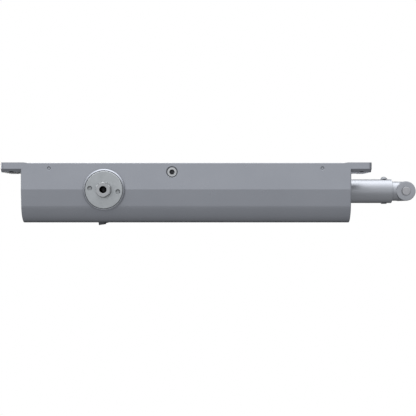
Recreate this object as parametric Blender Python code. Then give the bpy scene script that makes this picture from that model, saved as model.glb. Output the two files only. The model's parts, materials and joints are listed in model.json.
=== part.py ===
"""Surface-mounted door closer with a folded double-lever arm.

The closer is modelled as it hangs on a door.  +X runs along the body from the
pinion towards the spring, -Y points into the door and +Z is the pinion's axis,
up towards the arm.  The origin lies on the door's surface, under the pinion.
Every size below is in millimetres.
"""
import math

import bmesh
import bpy
from mathutils import Matrix

MM = 0.001
GAP = 0.3

# Body
BODY_LEFT = -78.5
BODY_RIGHT = 232.7
BODY_BACK = 0.45
HALF_HEIGHT = 30.0
DEPTH = 56.7
FLAT_DEPTH = 25.4
NOSE_R = 19.5
NOSE_CENTRE = (38.0, 8.77)
NOSE_START = math.radians(7.15)
END_CHAMFER = 0.9

# Mounting lugs
LUG_LEFT = -97.9
LUG_RIGHT = 252.3
LUG_THICK = 6.0
PAD_THICK = 8.7
PAD_HALF = 22.0
PAD_INSET = 0.4
LUG_CORNER = 4.0
LUG_REACH = 3.0
LUG_RELIEF = 3.1
SCREW_HOLE_R = 3.6
SCREW_HOLE_Z = 23.5
SCREW_HOLE_LEFT = -87.8
SCREW_HOLE_RIGHT = 242.8

# Piston bore and what closes it
BORE_Y = 27.5
BORE_R = 18.0
PLUG_LONG = 13.0
PLUG_INSET = 0.6
SEAL_REACH = 7.0
SEAL_WIDE = 2.4
SEAL_DEEP = 1.9
PLUG_PIN_ARM = 12.5
PLUG_PIN_R = 1.9
PLUG_PIN_DEEP = 4.0

# Pinion and the pieces round it
PINION_Y = 25.9
BOSS_R = 19.7
BOSS_ROOT = 22.0
BOSS_TOP = 32.5
BOSS_CHAMFER = 1.2
CAP_R = 17.8
CAP_TOP = 33.0
CAP_BOTTOM = 27.0
SEAL_R = 14.0
SEAL_BOTTOM = 24.6
BEARING_R = 12.6
BEARING_BOTTOM = 18.4
SHAFT_R = 7.3
SHAFT_CLEARANCE = 0.4
HEX_FLATS = 12.7
HEX_ROOT = 33.6
HEX_TOP = 41.5
TAP_R = 3.3
TAP_DEEP = 14.0
SPANNER_R = 2.1
SPANNER_DEEP = 3.2
SPANNER_ARM = 13.35
SPANNER_TILT = math.radians(6.9)

# Rack and pinion teeth
TEETH = 12
MODULE = 1.5
PITCH_R = MODULE * TEETH / 2
TOOTH_PITCH = math.pi * MODULE
TIP_R = 10.4
TOOTH_TIP_HALF = 0.40
TOOTH_ROOT_HALF = 1.25
GEAR_HALF = 12.0

# Piston
PISTON_LEFT = -60.0
PISTON_RIGHT = 40.0
PISTON_R = 17.7
RACK_TEETH = 11
RACK_FIRST = -8.5 * TOOTH_PITCH
RACK_TOOTH_HALF = 0.80
RACK_SLOPE = math.tan(math.radians(20))
SLOT_LEFT = -42.0
SLOT_RIGHT = 14.0
RACK_ROOT = PINION_Y - TIP_R - 0.6
RACK_TIP = PINION_Y - PITCH_R + 1.1
SLOT_TOP = PINION_Y + TIP_R + 0.9
BALL_R = 3.0
BALL_LEFT = 4.0
PASSAGE_R = 1.6

# Spring, its seat and its adjusting screw
SPRING_R = 14.2
WIRE_R = 2.4
SPRING_TURNS = 13
SEAT_LEFT = 196.0
SEAT_RIGHT = 203.0
ADJUSTER_R = 5.0
ADJUSTER_LEFT = 168.0
ADJUSTER_COLLAR_R = 9.0
ADJUSTER_COLLAR_LONG = 5.0
ADJUSTER_HEAD = BODY_RIGHT - 1.2

# Regulating valves and gallery plugs
BACKCHECK_X = 63.9
BACKCHECK_Y = 9.0
BACKCHECK_R = 4.25
BACKCHECK_RECESS_R = 5.4
BACKCHECK_RECESS_DEEP = 4.0
BACKCHECK_DEEP = 13.0
END_VALVE_Y = 15.0
END_VALVE_Z = 22.6
END_VALVE_R = 3.0
END_VALVE_DEEP = 14.0
GALLERY_Y = 5.5
GALLERY_R = 1.4
GALLERY_DEEP = 5.0
GALLERY_LEFT = -51.9
GALLERY_RIGHT = 205.5

# Main arm
ARM_Z = 46.0
TUBE_R = 12.0
TUBE_BORE_R = 10.0
TUBE_LEFT = 17.8
TUBE_RIGHT = 283.0
HUB_R = 17.0
HUB_BOTTOM = 33.8
HUB_TOP = 56.0
HUB_WEB_BOTTOM = 42.2
HUB_WEB_TOP = 50.0
HUB_COUNTERBORE_R = 7.5
HUB_RIVET_X = 34.0
ELBOW_RIVET_X = 275.6
RIVET_R = 2.5
RIVET_HEAD_R = 3.6
RIVET_DOME = 2.3
RIVET_UPSET_R = 3.0
RIVET_UPSET = 1.2
SPIGOT_LONG = 14.0
ELBOW_X = 296.3
ELBOW_R = 9.8
ELBOW_BOTTOM = 35.4
ELBOW_TOP = 56.3
PIN_R = 3.3
PIN_HEAD_R = 4.2
PIN_FAR_HEAD_R = 7.0
EYE_CHAMFER = 0.8

# Forearm
FOREARM_Z = 68.8
FOREARM_BOTTOM = 59.2
FOREARM_TOP = 78.4
ROD_R = 6.5
ROD_LEFT = 96.0
SLEEVE_R = 9.4
SLEEVE_RIGHT = 190.0
SLEEVE_BORE_LEFT = 60.0
CLAMP_X = 178.0
CLAMP_R = 3.0
CLAMP_BOSS_R = 6.0
CLAMP_TOP = SLEEVE_R + 3.5
FOOT_X = 15.3

# Foot bracket
FOOT_THICK = 5.0
FOOT_BOTTOM = 79.0
FOOT_BASE_BOTTOM = 59.6
FOOT_STANDOFF = 34.0
FOOT_HALF = 30.0
FOOT_LEG_HALF = 27.4
FOOT_EYE_R = 11.5
FOOT_LEG_STRAIGHT = 4.0
FOOT_TURN = math.radians(8.3)
FOOT_HOLE_R = 3.6
FOOT_HOLE_REACH = 20.0
FOOT_HOLE_Z = 68.5
FOOT_WASHER_R = 8.0
FOOT_WASHER_THICK = 1.2
FOOT_PIN_HEAD_R = 6.2

# Facets round a full circle
LARGE = 40
MEDIUM = 24
SMALL = 14

ALONG_Z = Matrix(((1, 0, 0), (0, 1, 0), (0, 0, 1)))
ALONG_X = Matrix(((0, 0, 1), (1, 0, 0), (0, 1, 0)))
ALONG_Y = Matrix(((0, 1, 0), (0, 0, 1), (1, 0, 0)))

PAINT = ((0.36, 0.38, 0.41), 0.42, 0.55)
FOOT_PAINT = ((0.10, 0.104, 0.113), 0.42, 0.55)
BRIGHT = ((0.55, 0.56, 0.57), 0.30, 0.90)
STEEL = ((0.42, 0.42, 0.43), 0.35, 0.95)
DARK_STEEL = ((0.10, 0.10, 0.11), 0.45, 0.90)
BRASS = ((0.60, 0.45, 0.20), 0.35, 0.95)
SEALING = ((0.02, 0.02, 0.02), 0.60, 0.0)


def clear_scene():
    for item in list(bpy.data.objects):
        bpy.data.objects.remove(item, do_unlink=True)


def finish_mesh(name, shape, origin):
    """Turn a bmesh in world millimetres into an object whose origin is given in millimetres."""
    bmesh.ops.recalc_face_normals(shape, faces=shape.faces)
    bmesh.ops.translate(shape, verts=shape.verts, vec=[-value for value in origin])
    bmesh.ops.scale(shape, verts=shape.verts, vec=(MM, MM, MM))
    mesh = bpy.data.meshes.new(name)
    shape.to_mesh(mesh)
    shape.free()
    mesh.shade_smooth()
    mesh.set_sharp_from_angle(angle=math.radians(32))
    item = bpy.data.objects.new(name, mesh)
    item.location = [value * MM for value in origin]
    bpy.context.scene.collection.objects.link(item)
    return item


def loft(name, loops, origin=(0, 0, 0)):
    """Skin a closed body over loops that all have the same number of points."""
    shape = bmesh.new()
    rings = [[shape.verts.new(point) for point in loop] for loop in loops]
    count = len(rings[0])
    for lower, upper in zip(rings, rings[1:]):
        for index in range(count):
            after = (index + 1) % count
            shape.faces.new((lower[index], lower[after], upper[after], upper[index]))
    shape.faces.new(rings[0])
    shape.faces.new(rings[-1])
    return finish_mesh(name, shape, origin)


def prism(name, outline, low, high, basis=ALONG_Z, centre=(0, 0, 0), origin=(0, 0, 0)):
    """Extrude an outline of the basis's first two axes from low to high on its third."""
    loops = []
    for level in (low, high):
        points = [basis @ Matrix.Translation((u, v, level)).to_translation() for u, v in outline]
        loops.append([[a + b for a, b in zip(point, centre)] for point in points])
    return loft(name, loops, origin)


def turned(name, section, basis=ALONG_Z, centre=(0, 0, 0), sides=MEDIUM, origin=(0, 0, 0)):
    """Revolve a closed (radius, height) section round the basis's third axis through centre."""
    shape = bmesh.new()
    rings = []
    for radius, height in section:
        steps = range(sides) if radius > 0 else range(1)
        ring = []
        for step in steps:
            angle = 2 * math.pi * step / sides
            local = Matrix.Translation((radius * math.cos(angle), radius * math.sin(angle), height))
            point = basis @ local.to_translation()
            ring.append(shape.verts.new([a + b for a, b in zip(point, centre)]))
        rings.append(ring)
    for ring, following in zip(rings, rings[1:] + rings[:1]):
        if len(ring) == 1 and len(following) == 1:
            continue
        for step in range(sides):
            after = (step + 1) % sides
            corners = [ring[step % len(ring)], ring[after % len(ring)]]
            corners += [following[after % len(following)], following[step % len(following)]]
            shape.faces.new(list(dict.fromkeys(corners)))
    return finish_mesh(name, shape, origin)


def rod(
    name, radius, low, high, basis=ALONG_Z, centre=(0, 0, 0), sides=MEDIUM, chamfer=0.0, origin=(0, 0, 0)
):
    """A solid cylinder, with both rims chamfered where a chamfer is given."""
    section = [(0, low), (radius - chamfer, low)]
    if chamfer:
        section += [(radius, low + chamfer), (radius, high - chamfer)]
    section += [(radius - chamfer, high), (0, high)]
    return turned(name, section, basis, centre, sides, origin)


def collar(name, inner, outer, low, high, basis=ALONG_Z, centre=(0, 0, 0), sides=MEDIUM):
    """A plain ring."""
    section = [(inner, low), (outer, low), (outer, high), (inner, high)]
    return turned(name, section, basis, centre, sides)


def hexagon(flats, turn=0.0):
    corner = flats / 2 / math.cos(math.pi / 6)
    angles = [turn + math.pi / 3 * index for index in range(6)]
    return [(corner * math.cos(angle), corner * math.sin(angle)) for angle in angles]


def combine(target, operation, tools):
    for tool in tools:
        tool.hide_render = True
        tool.display_type = 'WIRE'
        step = target.modifiers.new(tool.name, 'BOOLEAN')
        step.operation = operation
        step.object = tool
    return target


def carve(target, *cutters):
    return combine(target, 'DIFFERENCE', cutters)


def fuse(target, *additions):
    return combine(target, 'UNION', additions)


def paint(item, finish):
    """Give a sub-part its own material."""
    colour, roughness, metallic = finish
    material = bpy.data.materials.new(item.name)
    material.use_nodes = True
    shader = material.node_tree.nodes["Principled BSDF"]
    shader.inputs["Base Color"].default_value = (*colour, 1.0)
    shader.inputs["Roughness"].default_value = roughness
    shader.inputs["Metallic"].default_value = metallic
    material.diffuse_color = (*colour, 1.0)
    item.data.materials.clear()
    item.data.materials.append(material)
    return item


def body_section(inset):
    """The body's outline across its length, as (y, z) points, shrunk by an inset."""
    upper = [(BODY_BACK + inset, HALF_HEIGHT - inset), (FLAT_DEPTH, HALF_HEIGHT - inset)]
    radius = NOSE_R - inset
    finish = math.asin((DEPTH - inset - NOSE_CENTRE[0]) / radius)
    steps = 8
    for step in range(steps + 1):
        angle = NOSE_START + (finish - NOSE_START) * step / steps
        y = NOSE_CENTRE[0] + radius * math.sin(angle)
        z = NOSE_CENTRE[1] + radius * math.cos(angle)
        upper.append((y, z))
    lower = [(y, -z) for y, z in reversed(upper)]
    return upper + lower


def body_blank():
    stations = [
        (BODY_LEFT, END_CHAMFER),
        (BODY_LEFT + END_CHAMFER, 0.0),
        (BODY_RIGHT - END_CHAMFER, 0.0),
        (BODY_RIGHT, END_CHAMFER),
    ]
    loops = [[(x, y, z) for y, z in body_section(inset)] for x, inset in stations]
    return loft("housing", loops)


def lug_outline(outer, inner, half):
    """A lug's plan, as (x, z) points, with its two outer corners rounded."""
    side = math.copysign(1, outer - inner)
    points = [(inner, -half)]
    steps = 4
    for corner_sign in (-1, 1):
        for step in range(steps + 1):
            angle = math.pi / 2 * step / steps
            if corner_sign > 0:
                angle = math.pi / 2 - angle
            x = outer - side * LUG_CORNER * (1 - math.sin(angle))
            z = corner_sign * (half - LUG_CORNER * (1 - math.cos(angle)))
            points.append((x, z))
    points.append((inner, half))
    return points


def lug(name, outer, body_end):
    """One end's mounting lug: a flat wall with a raised pad that slopes down to both edges."""
    side = math.copysign(1, outer - body_end)
    inner = body_end - side * LUG_REACH
    relieved = inner - side * LUG_RELIEF
    stations = [
        (0.0, outer, inner, HALF_HEIGHT),
        (BODY_BACK, outer, relieved, HALF_HEIGHT),
        (LUG_THICK, outer, relieved, HALF_HEIGHT),
        (PAD_THICK, outer - side * PAD_INSET, relieved, PAD_HALF),
    ]
    loops = []
    for y, outer_x, inner_x, half in stations:
        loops.append([(x, y, z) for x, z in lug_outline(outer_x, inner_x, half)])
    return loft(name, loops)


def pinion_bore():
    """The stepped bore for the pinion, alike on both sides."""
    upper = [
        (BEARING_R + GAP, SEAL_BOTTOM - GAP / 2),
        (SEAL_R + GAP, SEAL_BOTTOM - GAP / 2),
        (SEAL_R + GAP, CAP_BOTTOM - GAP),
        (CAP_R + GAP, CAP_BOTTOM - GAP),
        (CAP_R + GAP, BOSS_TOP + 2),
        (0, BOSS_TOP + 2),
    ]
    lower = [(radius, -height) for radius, height in reversed(upper)]
    centre = (0, PINION_Y, 0)
    return turned("cut_pinion_bore", lower + upper, centre=centre, sides=LARGE)


def boss(name, side):
    """The raised ring round a pinion cap."""
    section = [
        (0, side * BOSS_ROOT),
        (BOSS_R, side * BOSS_ROOT),
        (BOSS_R, side * (BOSS_TOP - BOSS_CHAMFER)),
        (BOSS_R - BOSS_CHAMFER, side * BOSS_TOP),
        (0, side * BOSS_TOP),
    ]
    return turned(name, section, centre=(0, PINION_Y, 0), sides=LARGE)


def backcheck_hole():
    """A recess with the valve's own hole in its floor."""
    mouth = -HALF_HEIGHT - 5
    recess_floor = -HALF_HEIGHT + BACKCHECK_RECESS_DEEP
    section = [
        (0, mouth),
        (BACKCHECK_RECESS_R, mouth),
        (BACKCHECK_RECESS_R, recess_floor),
        (BACKCHECK_R + GAP, recess_floor),
        (BACKCHECK_R + GAP, -HALF_HEIGHT + BACKCHECK_DEEP),
        (0, -HALF_HEIGHT + BACKCHECK_DEEP),
    ]
    return turned("cut_backcheck", section, centre=(BACKCHECK_X, BACKCHECK_Y, 0))


def build_housing():
    housing = body_blank()
    fuse(
        housing,
        lug("add_lug_left", LUG_LEFT, BODY_LEFT),
        lug("add_lug_right", LUG_RIGHT, BODY_RIGHT),
        boss("add_boss_near", -1),
        boss("add_boss_far", 1),
    )
    past = 5
    bore_centre = (0, BORE_Y, 0)
    bore = rod("cut_bore", BORE_R, BODY_LEFT - past, BODY_RIGHT + past, ALONG_X, bore_centre, LARGE)
    carve(housing, bore, pinion_bore(), backcheck_hole())
    for end, x in (("left", SCREW_HOLE_LEFT), ("right", SCREW_HOLE_RIGHT)):
        for side, z in (("near", -SCREW_HOLE_Z), ("far", SCREW_HOLE_Z)):
            name = f"cut_screw_{end}_{side}"
            carve(housing, rod(name, SCREW_HOLE_R, -past, PAD_THICK + past, ALONG_Y, (x, 0, z), SMALL))
    start = BODY_LEFT - past
    stop = BODY_LEFT + END_VALVE_DEEP
    for side, z in (("near", -END_VALVE_Z), ("far", END_VALVE_Z)):
        centre = (0, END_VALVE_Y, z)
        carve(housing, rod(f"cut_end_valve_{side}", END_VALVE_R + GAP, start, stop, ALONG_X, centre, SMALL))
    start = -HALF_HEIGHT - past
    stop = -HALF_HEIGHT + GALLERY_DEEP
    for end, x in (("left", GALLERY_LEFT), ("right", GALLERY_RIGHT)):
        centre = (x, GALLERY_Y, 0)
        carve(housing, rod(f"cut_gallery_{end}", GALLERY_R + GAP, start, stop, ALONG_Z, centre, SMALL))
    paint(housing, PAINT)


def build_end_plugs():
    """The left plug is plain; the right one lets the spring's adjusting screw through."""
    for end, face, inward in (("left", BODY_LEFT, 1), ("right", BODY_RIGHT, -1)):
        outer = face + inward * PLUG_INSET
        inner = outer + inward * PLUG_LONG
        groove_low = outer + inward * SEAL_REACH
        groove_high = groove_low + inward * (SEAL_WIDE + 2 * GAP)
        radius = BORE_R - GAP
        groove_r = radius - SEAL_DEEP - GAP
        hole = ADJUSTER_R + GAP if end == "right" else 0
        section = [
            (hole, outer),
            (radius - 1, outer),
            (radius, outer + inward),
            (radius, groove_low),
            (groove_r, groove_low),
            (groove_r, groove_high),
            (radius, groove_high),
            (radius, inner),
            (hole, inner),
        ]
        plug = turned(f"end_plug_{end}", section, ALONG_X, (0, BORE_Y, 0), LARGE)
        for index, side in enumerate((-1, 1)):
            low, high = sorted((outer - inward * PLUG_PIN_DEEP, outer + inward * PLUG_PIN_DEEP))
            centre = (0, BORE_Y + side * PLUG_PIN_ARM, 0)
            carve(plug, rod(f"cut_{end}_plug_pin_{index}", PLUG_PIN_R, low, high, ALONG_X, centre, SMALL))
        paint(plug, DARK_STEEL)
        low = groove_low + inward * GAP
        high = low + inward * SEAL_WIDE
        centre = (0, BORE_Y, 0)
        seal = collar(f"end_seal_{end}", groove_r + GAP, radius, low, high, ALONG_X, centre, LARGE)
        paint(seal, SEALING)


def build_pinion_supports():
    """Cap, seal and bearing on the near (-Z) and far (+Z) side."""
    for side, sign in (("near", -1), ("far", 1)):
        centre = (0, PINION_Y, 0)
        hole = SHAFT_R + SHAFT_CLEARANCE
        chamfer = 0.5
        section = [
            (hole, sign * CAP_BOTTOM),
            (CAP_R, sign * CAP_BOTTOM),
            (CAP_R, sign * (CAP_TOP - chamfer)),
            (CAP_R - chamfer, sign * CAP_TOP),
            (hole, sign * CAP_TOP),
        ]
        cap = turned(f"pinion_cap_{side}", section, centre=centre, sides=LARGE)
        for index, turn in enumerate((SPANNER_TILT, SPANNER_TILT + math.pi)):
            x = SPANNER_ARM * math.cos(turn)
            y = PINION_Y + SPANNER_ARM * math.sin(turn)
            low, high = sorted((sign * (CAP_TOP - SPANNER_DEEP), sign * (CAP_TOP + SPANNER_DEEP)))
            carve(cap, rod(f"cut_spanner_{side}_{index}", SPANNER_R, low, high, ALONG_Z, (x, y, 0), SMALL))
        paint(cap, BRIGHT)
        low = sign * SEAL_BOTTOM
        high = sign * (CAP_BOTTOM - 2 * GAP)
        paint(collar(f"shaft_seal_{side}", hole, SEAL_R, low, high, centre=centre), SEALING)
        low = sign * BEARING_BOTTOM
        high = sign * (SEAL_BOTTOM - GAP)
        paint(collar(f"pinion_bearing_{side}", hole, BEARING_R, low, high, centre=centre), STEEL)


def tooth_angles():
    """Four directions for each tooth: root, tip, tip, root."""
    tip_half = TOOTH_TIP_HALF / TIP_R
    root_half = TOOTH_ROOT_HALF / SHAFT_R
    angles = []
    for tooth in range(TEETH):
        middle = -math.pi / 2 + 2 * math.pi * tooth / TEETH
        angles += [middle - root_half, middle - tip_half, middle + tip_half, middle + root_half]
    return angles


def round_loop(radius, z):
    return [(radius * math.cos(a), PINION_Y + radius * math.sin(a), z) for a in tooth_angles()]


def hex_loop(flats, z):
    """A hexagon with a corner towards the door, sampled in the teeth's directions."""
    loop = []
    for angle in tooth_angles():
        off_flat = (angle + math.pi / 2) % (math.pi / 3) - math.pi / 6
        radius = flats / 2 / math.cos(off_flat)
        loop.append((radius * math.cos(angle), PINION_Y + radius * math.sin(angle), z))
    return loop


def gear_loop(z):
    loop = []
    for index, angle in enumerate(tooth_angles()):
        radius = TIP_R if index % 4 in (1, 2) else SHAFT_R
        loop.append((radius * math.cos(angle), PINION_Y + radius * math.sin(angle), z))
    return loop


def build_pinion():
    origin = (0, PINION_Y, 0)
    chamfer = 0.8
    lower = [
        hex_loop(HEX_FLATS - 2 * chamfer, -HEX_TOP),
        hex_loop(HEX_FLATS, -HEX_TOP + chamfer),
        hex_loop(HEX_FLATS, -HEX_ROOT),
        round_loop(SHAFT_R, -CAP_TOP),
        round_loop(SHAFT_R, -GEAR_HALF),
        gear_loop(-GEAR_HALF + 0.2),
    ]
    upper = [[(x, y, -z) for x, y, z in loop] for loop in reversed(lower)]
    pinion = loft("pinion", lower + upper, origin)
    for side, sign in (("near", -1), ("far", 1)):
        low, high = sorted((sign * (HEX_TOP - TAP_DEEP), sign * (HEX_TOP + 3)))
        carve(pinion, rod(f"cut_tap_{side}", TAP_R, low, high, ALONG_Z, origin, SMALL))
    paint(pinion, BRIGHT)


def slot_outline():
    """The piston's slot, as (x, y) points, with the rack's teeth along its door side."""
    pitch_line = PINION_Y - PITCH_R
    half_tip = RACK_TOOTH_HALF - (RACK_TIP - pitch_line) * RACK_SLOPE
    half_root = RACK_TOOTH_HALF + (pitch_line - RACK_ROOT) * RACK_SLOPE
    points = [(SLOT_LEFT, SLOT_TOP), (SLOT_LEFT, RACK_ROOT)]
    for tooth in range(RACK_TEETH):
        x = RACK_FIRST + tooth * TOOTH_PITCH
        points += [
            (x - half_root, RACK_ROOT),
            (x - half_tip, RACK_TIP),
            (x + half_tip, RACK_TIP),
            (x + half_root, RACK_ROOT),
        ]
    points += [(SLOT_RIGHT, RACK_ROOT), (SLOT_RIGHT, SLOT_TOP)]
    return points


def build_piston():
    """The piston, its ring and the check ball in its head."""
    centre = (0, BORE_Y, 0)
    ring_left = PISTON_LEFT + 5
    ring_right = ring_left + 2.6
    groove_r = PISTON_R - 2.0
    guide_r = 10.5
    section = [
        (0, PISTON_LEFT),
        (PISTON_R - 1, PISTON_LEFT),
        (PISTON_R, PISTON_LEFT + 1),
        (PISTON_R, ring_left),
        (groove_r, ring_left),
        (groove_r, ring_right),
        (PISTON_R, ring_right),
        (PISTON_R, PISTON_RIGHT),
        (guide_r, PISTON_RIGHT),
        (guide_r - 1, PISTON_RIGHT + 9),
        (0, PISTON_RIGHT + 9),
    ]
    piston = turned("piston", section, ALONG_X, centre, LARGE, (PISTON_LEFT, BORE_Y, 0))
    carve(piston, prism("cut_rack_slot", slot_outline(), -2 * PISTON_R, 2 * PISTON_R))
    passage = [
        (0, PISTON_LEFT - 3),
        (BALL_R + 0.8, PISTON_LEFT - 3),
        (BALL_R + 0.8, PISTON_LEFT + 10),
        (PASSAGE_R, PISTON_LEFT + 13),
        (PASSAGE_R, SLOT_LEFT + 3),
        (0, SLOT_LEFT + 3),
    ]
    carve(piston, turned("cut_check_passage", passage, ALONG_X, centre, SMALL))
    paint(piston, STEEL)
    low = ring_left + GAP
    high = ring_right - GAP
    paint(collar("piston_ring", groove_r + GAP, PISTON_R, low, high, ALONG_X, centre, LARGE), DARK_STEEL)
    ball_x = PISTON_LEFT + BALL_LEFT + BALL_R
    steps = 8
    section = []
    for step in range(steps + 1):
        angle = math.pi * step / steps
        section.append((BALL_R * math.sin(angle) if 0 < step < steps else 0, -BALL_R * math.cos(angle)))
    ball = turned("check_ball", section, ALONG_X, (ball_x, BORE_Y, 0), SMALL, (ball_x, BORE_Y, 0))
    paint(ball, STEEL)
    low = PISTON_LEFT + 0.6
    high = low + 1.6
    paint(collar("ball_retainer", PASSAGE_R, BALL_R + 0.5, low, high, ALONG_X, centre, SMALL), DARK_STEEL)


def build_spring():
    """A helix whose end coils lie close together, between the piston and the seat."""
    left = PISTON_RIGHT + GAP + WIRE_R
    right = SEAT_LEFT - GAP - WIRE_R
    per_turn = 12
    sides = 5
    closed_turns = 1.0
    count = SPRING_TURNS * per_turn
    shape = bmesh.new()
    rings = []
    closed_rise = closed_turns * (2 * WIRE_R + GAP)
    open_turns = SPRING_TURNS - 2 * closed_turns
    open_pitch = (right - left - 2 * closed_rise) / open_turns
    for step in range(count + 1):
        turn = step / per_turn
        from_left = min(turn, closed_turns) * closed_rise / closed_turns
        open_part = min(max(turn - closed_turns, 0), open_turns) * open_pitch
        from_right = max(turn - closed_turns - open_turns, 0) * closed_rise / closed_turns
        x = left + from_left + open_part + from_right
        angle = 2 * math.pi * turn
        ring = []
        for side in range(sides):
            around = 2 * math.pi * side / sides
            radius = SPRING_R + WIRE_R * math.cos(around)
            y = BORE_Y + radius * math.cos(angle)
            z = radius * math.sin(angle)
            ring.append(shape.verts.new((x + WIRE_R * math.sin(around), y, z)))
        rings.append(ring)
    for ring, following in zip(rings, rings[1:]):
        for side in range(sides):
            after = (side + 1) % sides
            shape.faces.new((ring[side], ring[after], following[after], following[side]))
    shape.faces.new(rings[0])
    shape.faces.new(rings[-1])
    paint(finish_mesh("closing_spring", shape, (SEAT_LEFT, BORE_Y, 0)), STEEL)


def build_spring_adjuster():
    """The seat that the spring pushes on, and the screw that moves it."""
    centre = (0, BORE_Y, 0)
    origin = (SEAT_LEFT, BORE_Y, 0)
    section = [
        (ADJUSTER_R + GAP, SEAT_LEFT - 8),
        (10.0, SEAT_LEFT - 8),
        (11.0, SEAT_LEFT),
        (BORE_R - GAP, SEAT_LEFT),
        (BORE_R - GAP, SEAT_RIGHT),
        (ADJUSTER_R + GAP, SEAT_RIGHT),
    ]
    paint(turned("spring_seat", section, ALONG_X, centre, LARGE, origin), STEEL)
    collar_right = BODY_RIGHT - PLUG_INSET - PLUG_LONG - GAP
    collar_left = collar_right - ADJUSTER_COLLAR_LONG
    head = ADJUSTER_HEAD
    section = [
        (0, ADJUSTER_LEFT),
        (ADJUSTER_R - 1, ADJUSTER_LEFT),
        (ADJUSTER_R, ADJUSTER_LEFT + 1),
        (ADJUSTER_R, collar_left),
        (ADJUSTER_COLLAR_R, collar_left),
        (ADJUSTER_COLLAR_R, collar_right),
        (ADJUSTER_R, collar_right),
        (ADJUSTER_R, head),
        (0, head),
    ]
    screw = turned("spring_adjuster", section, ALONG_X, centre, MEDIUM, (head, BORE_Y, 0))
    carve(screw, prism("cut_adjuster_socket", hexagon(5.0), head - 5, head + 2, ALONG_X, centre))
    paint(screw, DARK_STEEL)


def build_valves():
    """The three regulating screws and the two gallery plugs."""
    low = -HALF_HEIGHT + 0.7
    high = -HALF_HEIGHT + BACKCHECK_DEEP - 0.5
    centre = (BACKCHECK_X, BACKCHECK_Y, 0)
    valve = rod("backcheck_valve", BACKCHECK_R, low, high, ALONG_Z, centre, MEDIUM, 0.4, centre)
    carve(valve, prism("cut_backcheck_socket", hexagon(4.0), low - 2, low + 3, ALONG_Z, centre))
    paint(valve, BRIGHT)
    low = BODY_LEFT + 0.8
    high = BODY_LEFT + END_VALVE_DEEP - 0.6
    for name, z in (("sweep_valve", -END_VALVE_Z), ("latch_valve", END_VALVE_Z)):
        centre = (0, END_VALVE_Y, z)
        origin = (low, END_VALVE_Y, z)
        valve = rod(name, END_VALVE_R, low, high, ALONG_X, centre, SMALL, 0.3, origin)
        carve(valve, prism(f"cut_{name}_socket", hexagon(2.5), low - 2, low + 2.5, ALONG_X, centre))
        paint(valve, BRASS)
    low = -HALF_HEIGHT + 0.4
    high = -HALF_HEIGHT + GALLERY_DEEP - 0.4
    for end, x in (("left", GALLERY_LEFT), ("right", GALLERY_RIGHT)):
        centre = (x, GALLERY_Y, 0)
        plug = rod(f"gallery_plug_{end}", GALLERY_R, low, high, ALONG_Z, centre, SMALL, 0.2)
        paint(plug, PAINT)


def cross_rivet(name, x, origin):
    """A rivet across the tube: a domed head on the door side, an upset end on the room side."""
    seat = TUBE_R + GAP
    section = [(0, -seat - RIVET_DOME)]
    steps = 4
    for step in range(1, steps + 1):
        angle = math.pi / 2 * step / steps
        section.append((RIVET_HEAD_R * math.sin(angle), -seat - RIVET_DOME * math.cos(angle)))
    section += [
        (RIVET_R, -seat),
        (RIVET_R, seat),
        (RIVET_UPSET_R, seat),
        (RIVET_UPSET_R - 0.5, seat + RIVET_UPSET),
        (0, seat + RIVET_UPSET),
    ]
    return paint(turned(name, section, ALONG_Y, (x, PINION_Y, ARM_Z), SMALL, origin), STEEL)


def eye(name, low, high, centre, origin):
    """The upright barrel at a lever's end."""
    return rod(name, ELBOW_R, low, high, ALONG_Z, centre, MEDIUM, EYE_CHAMFER, origin)


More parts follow.
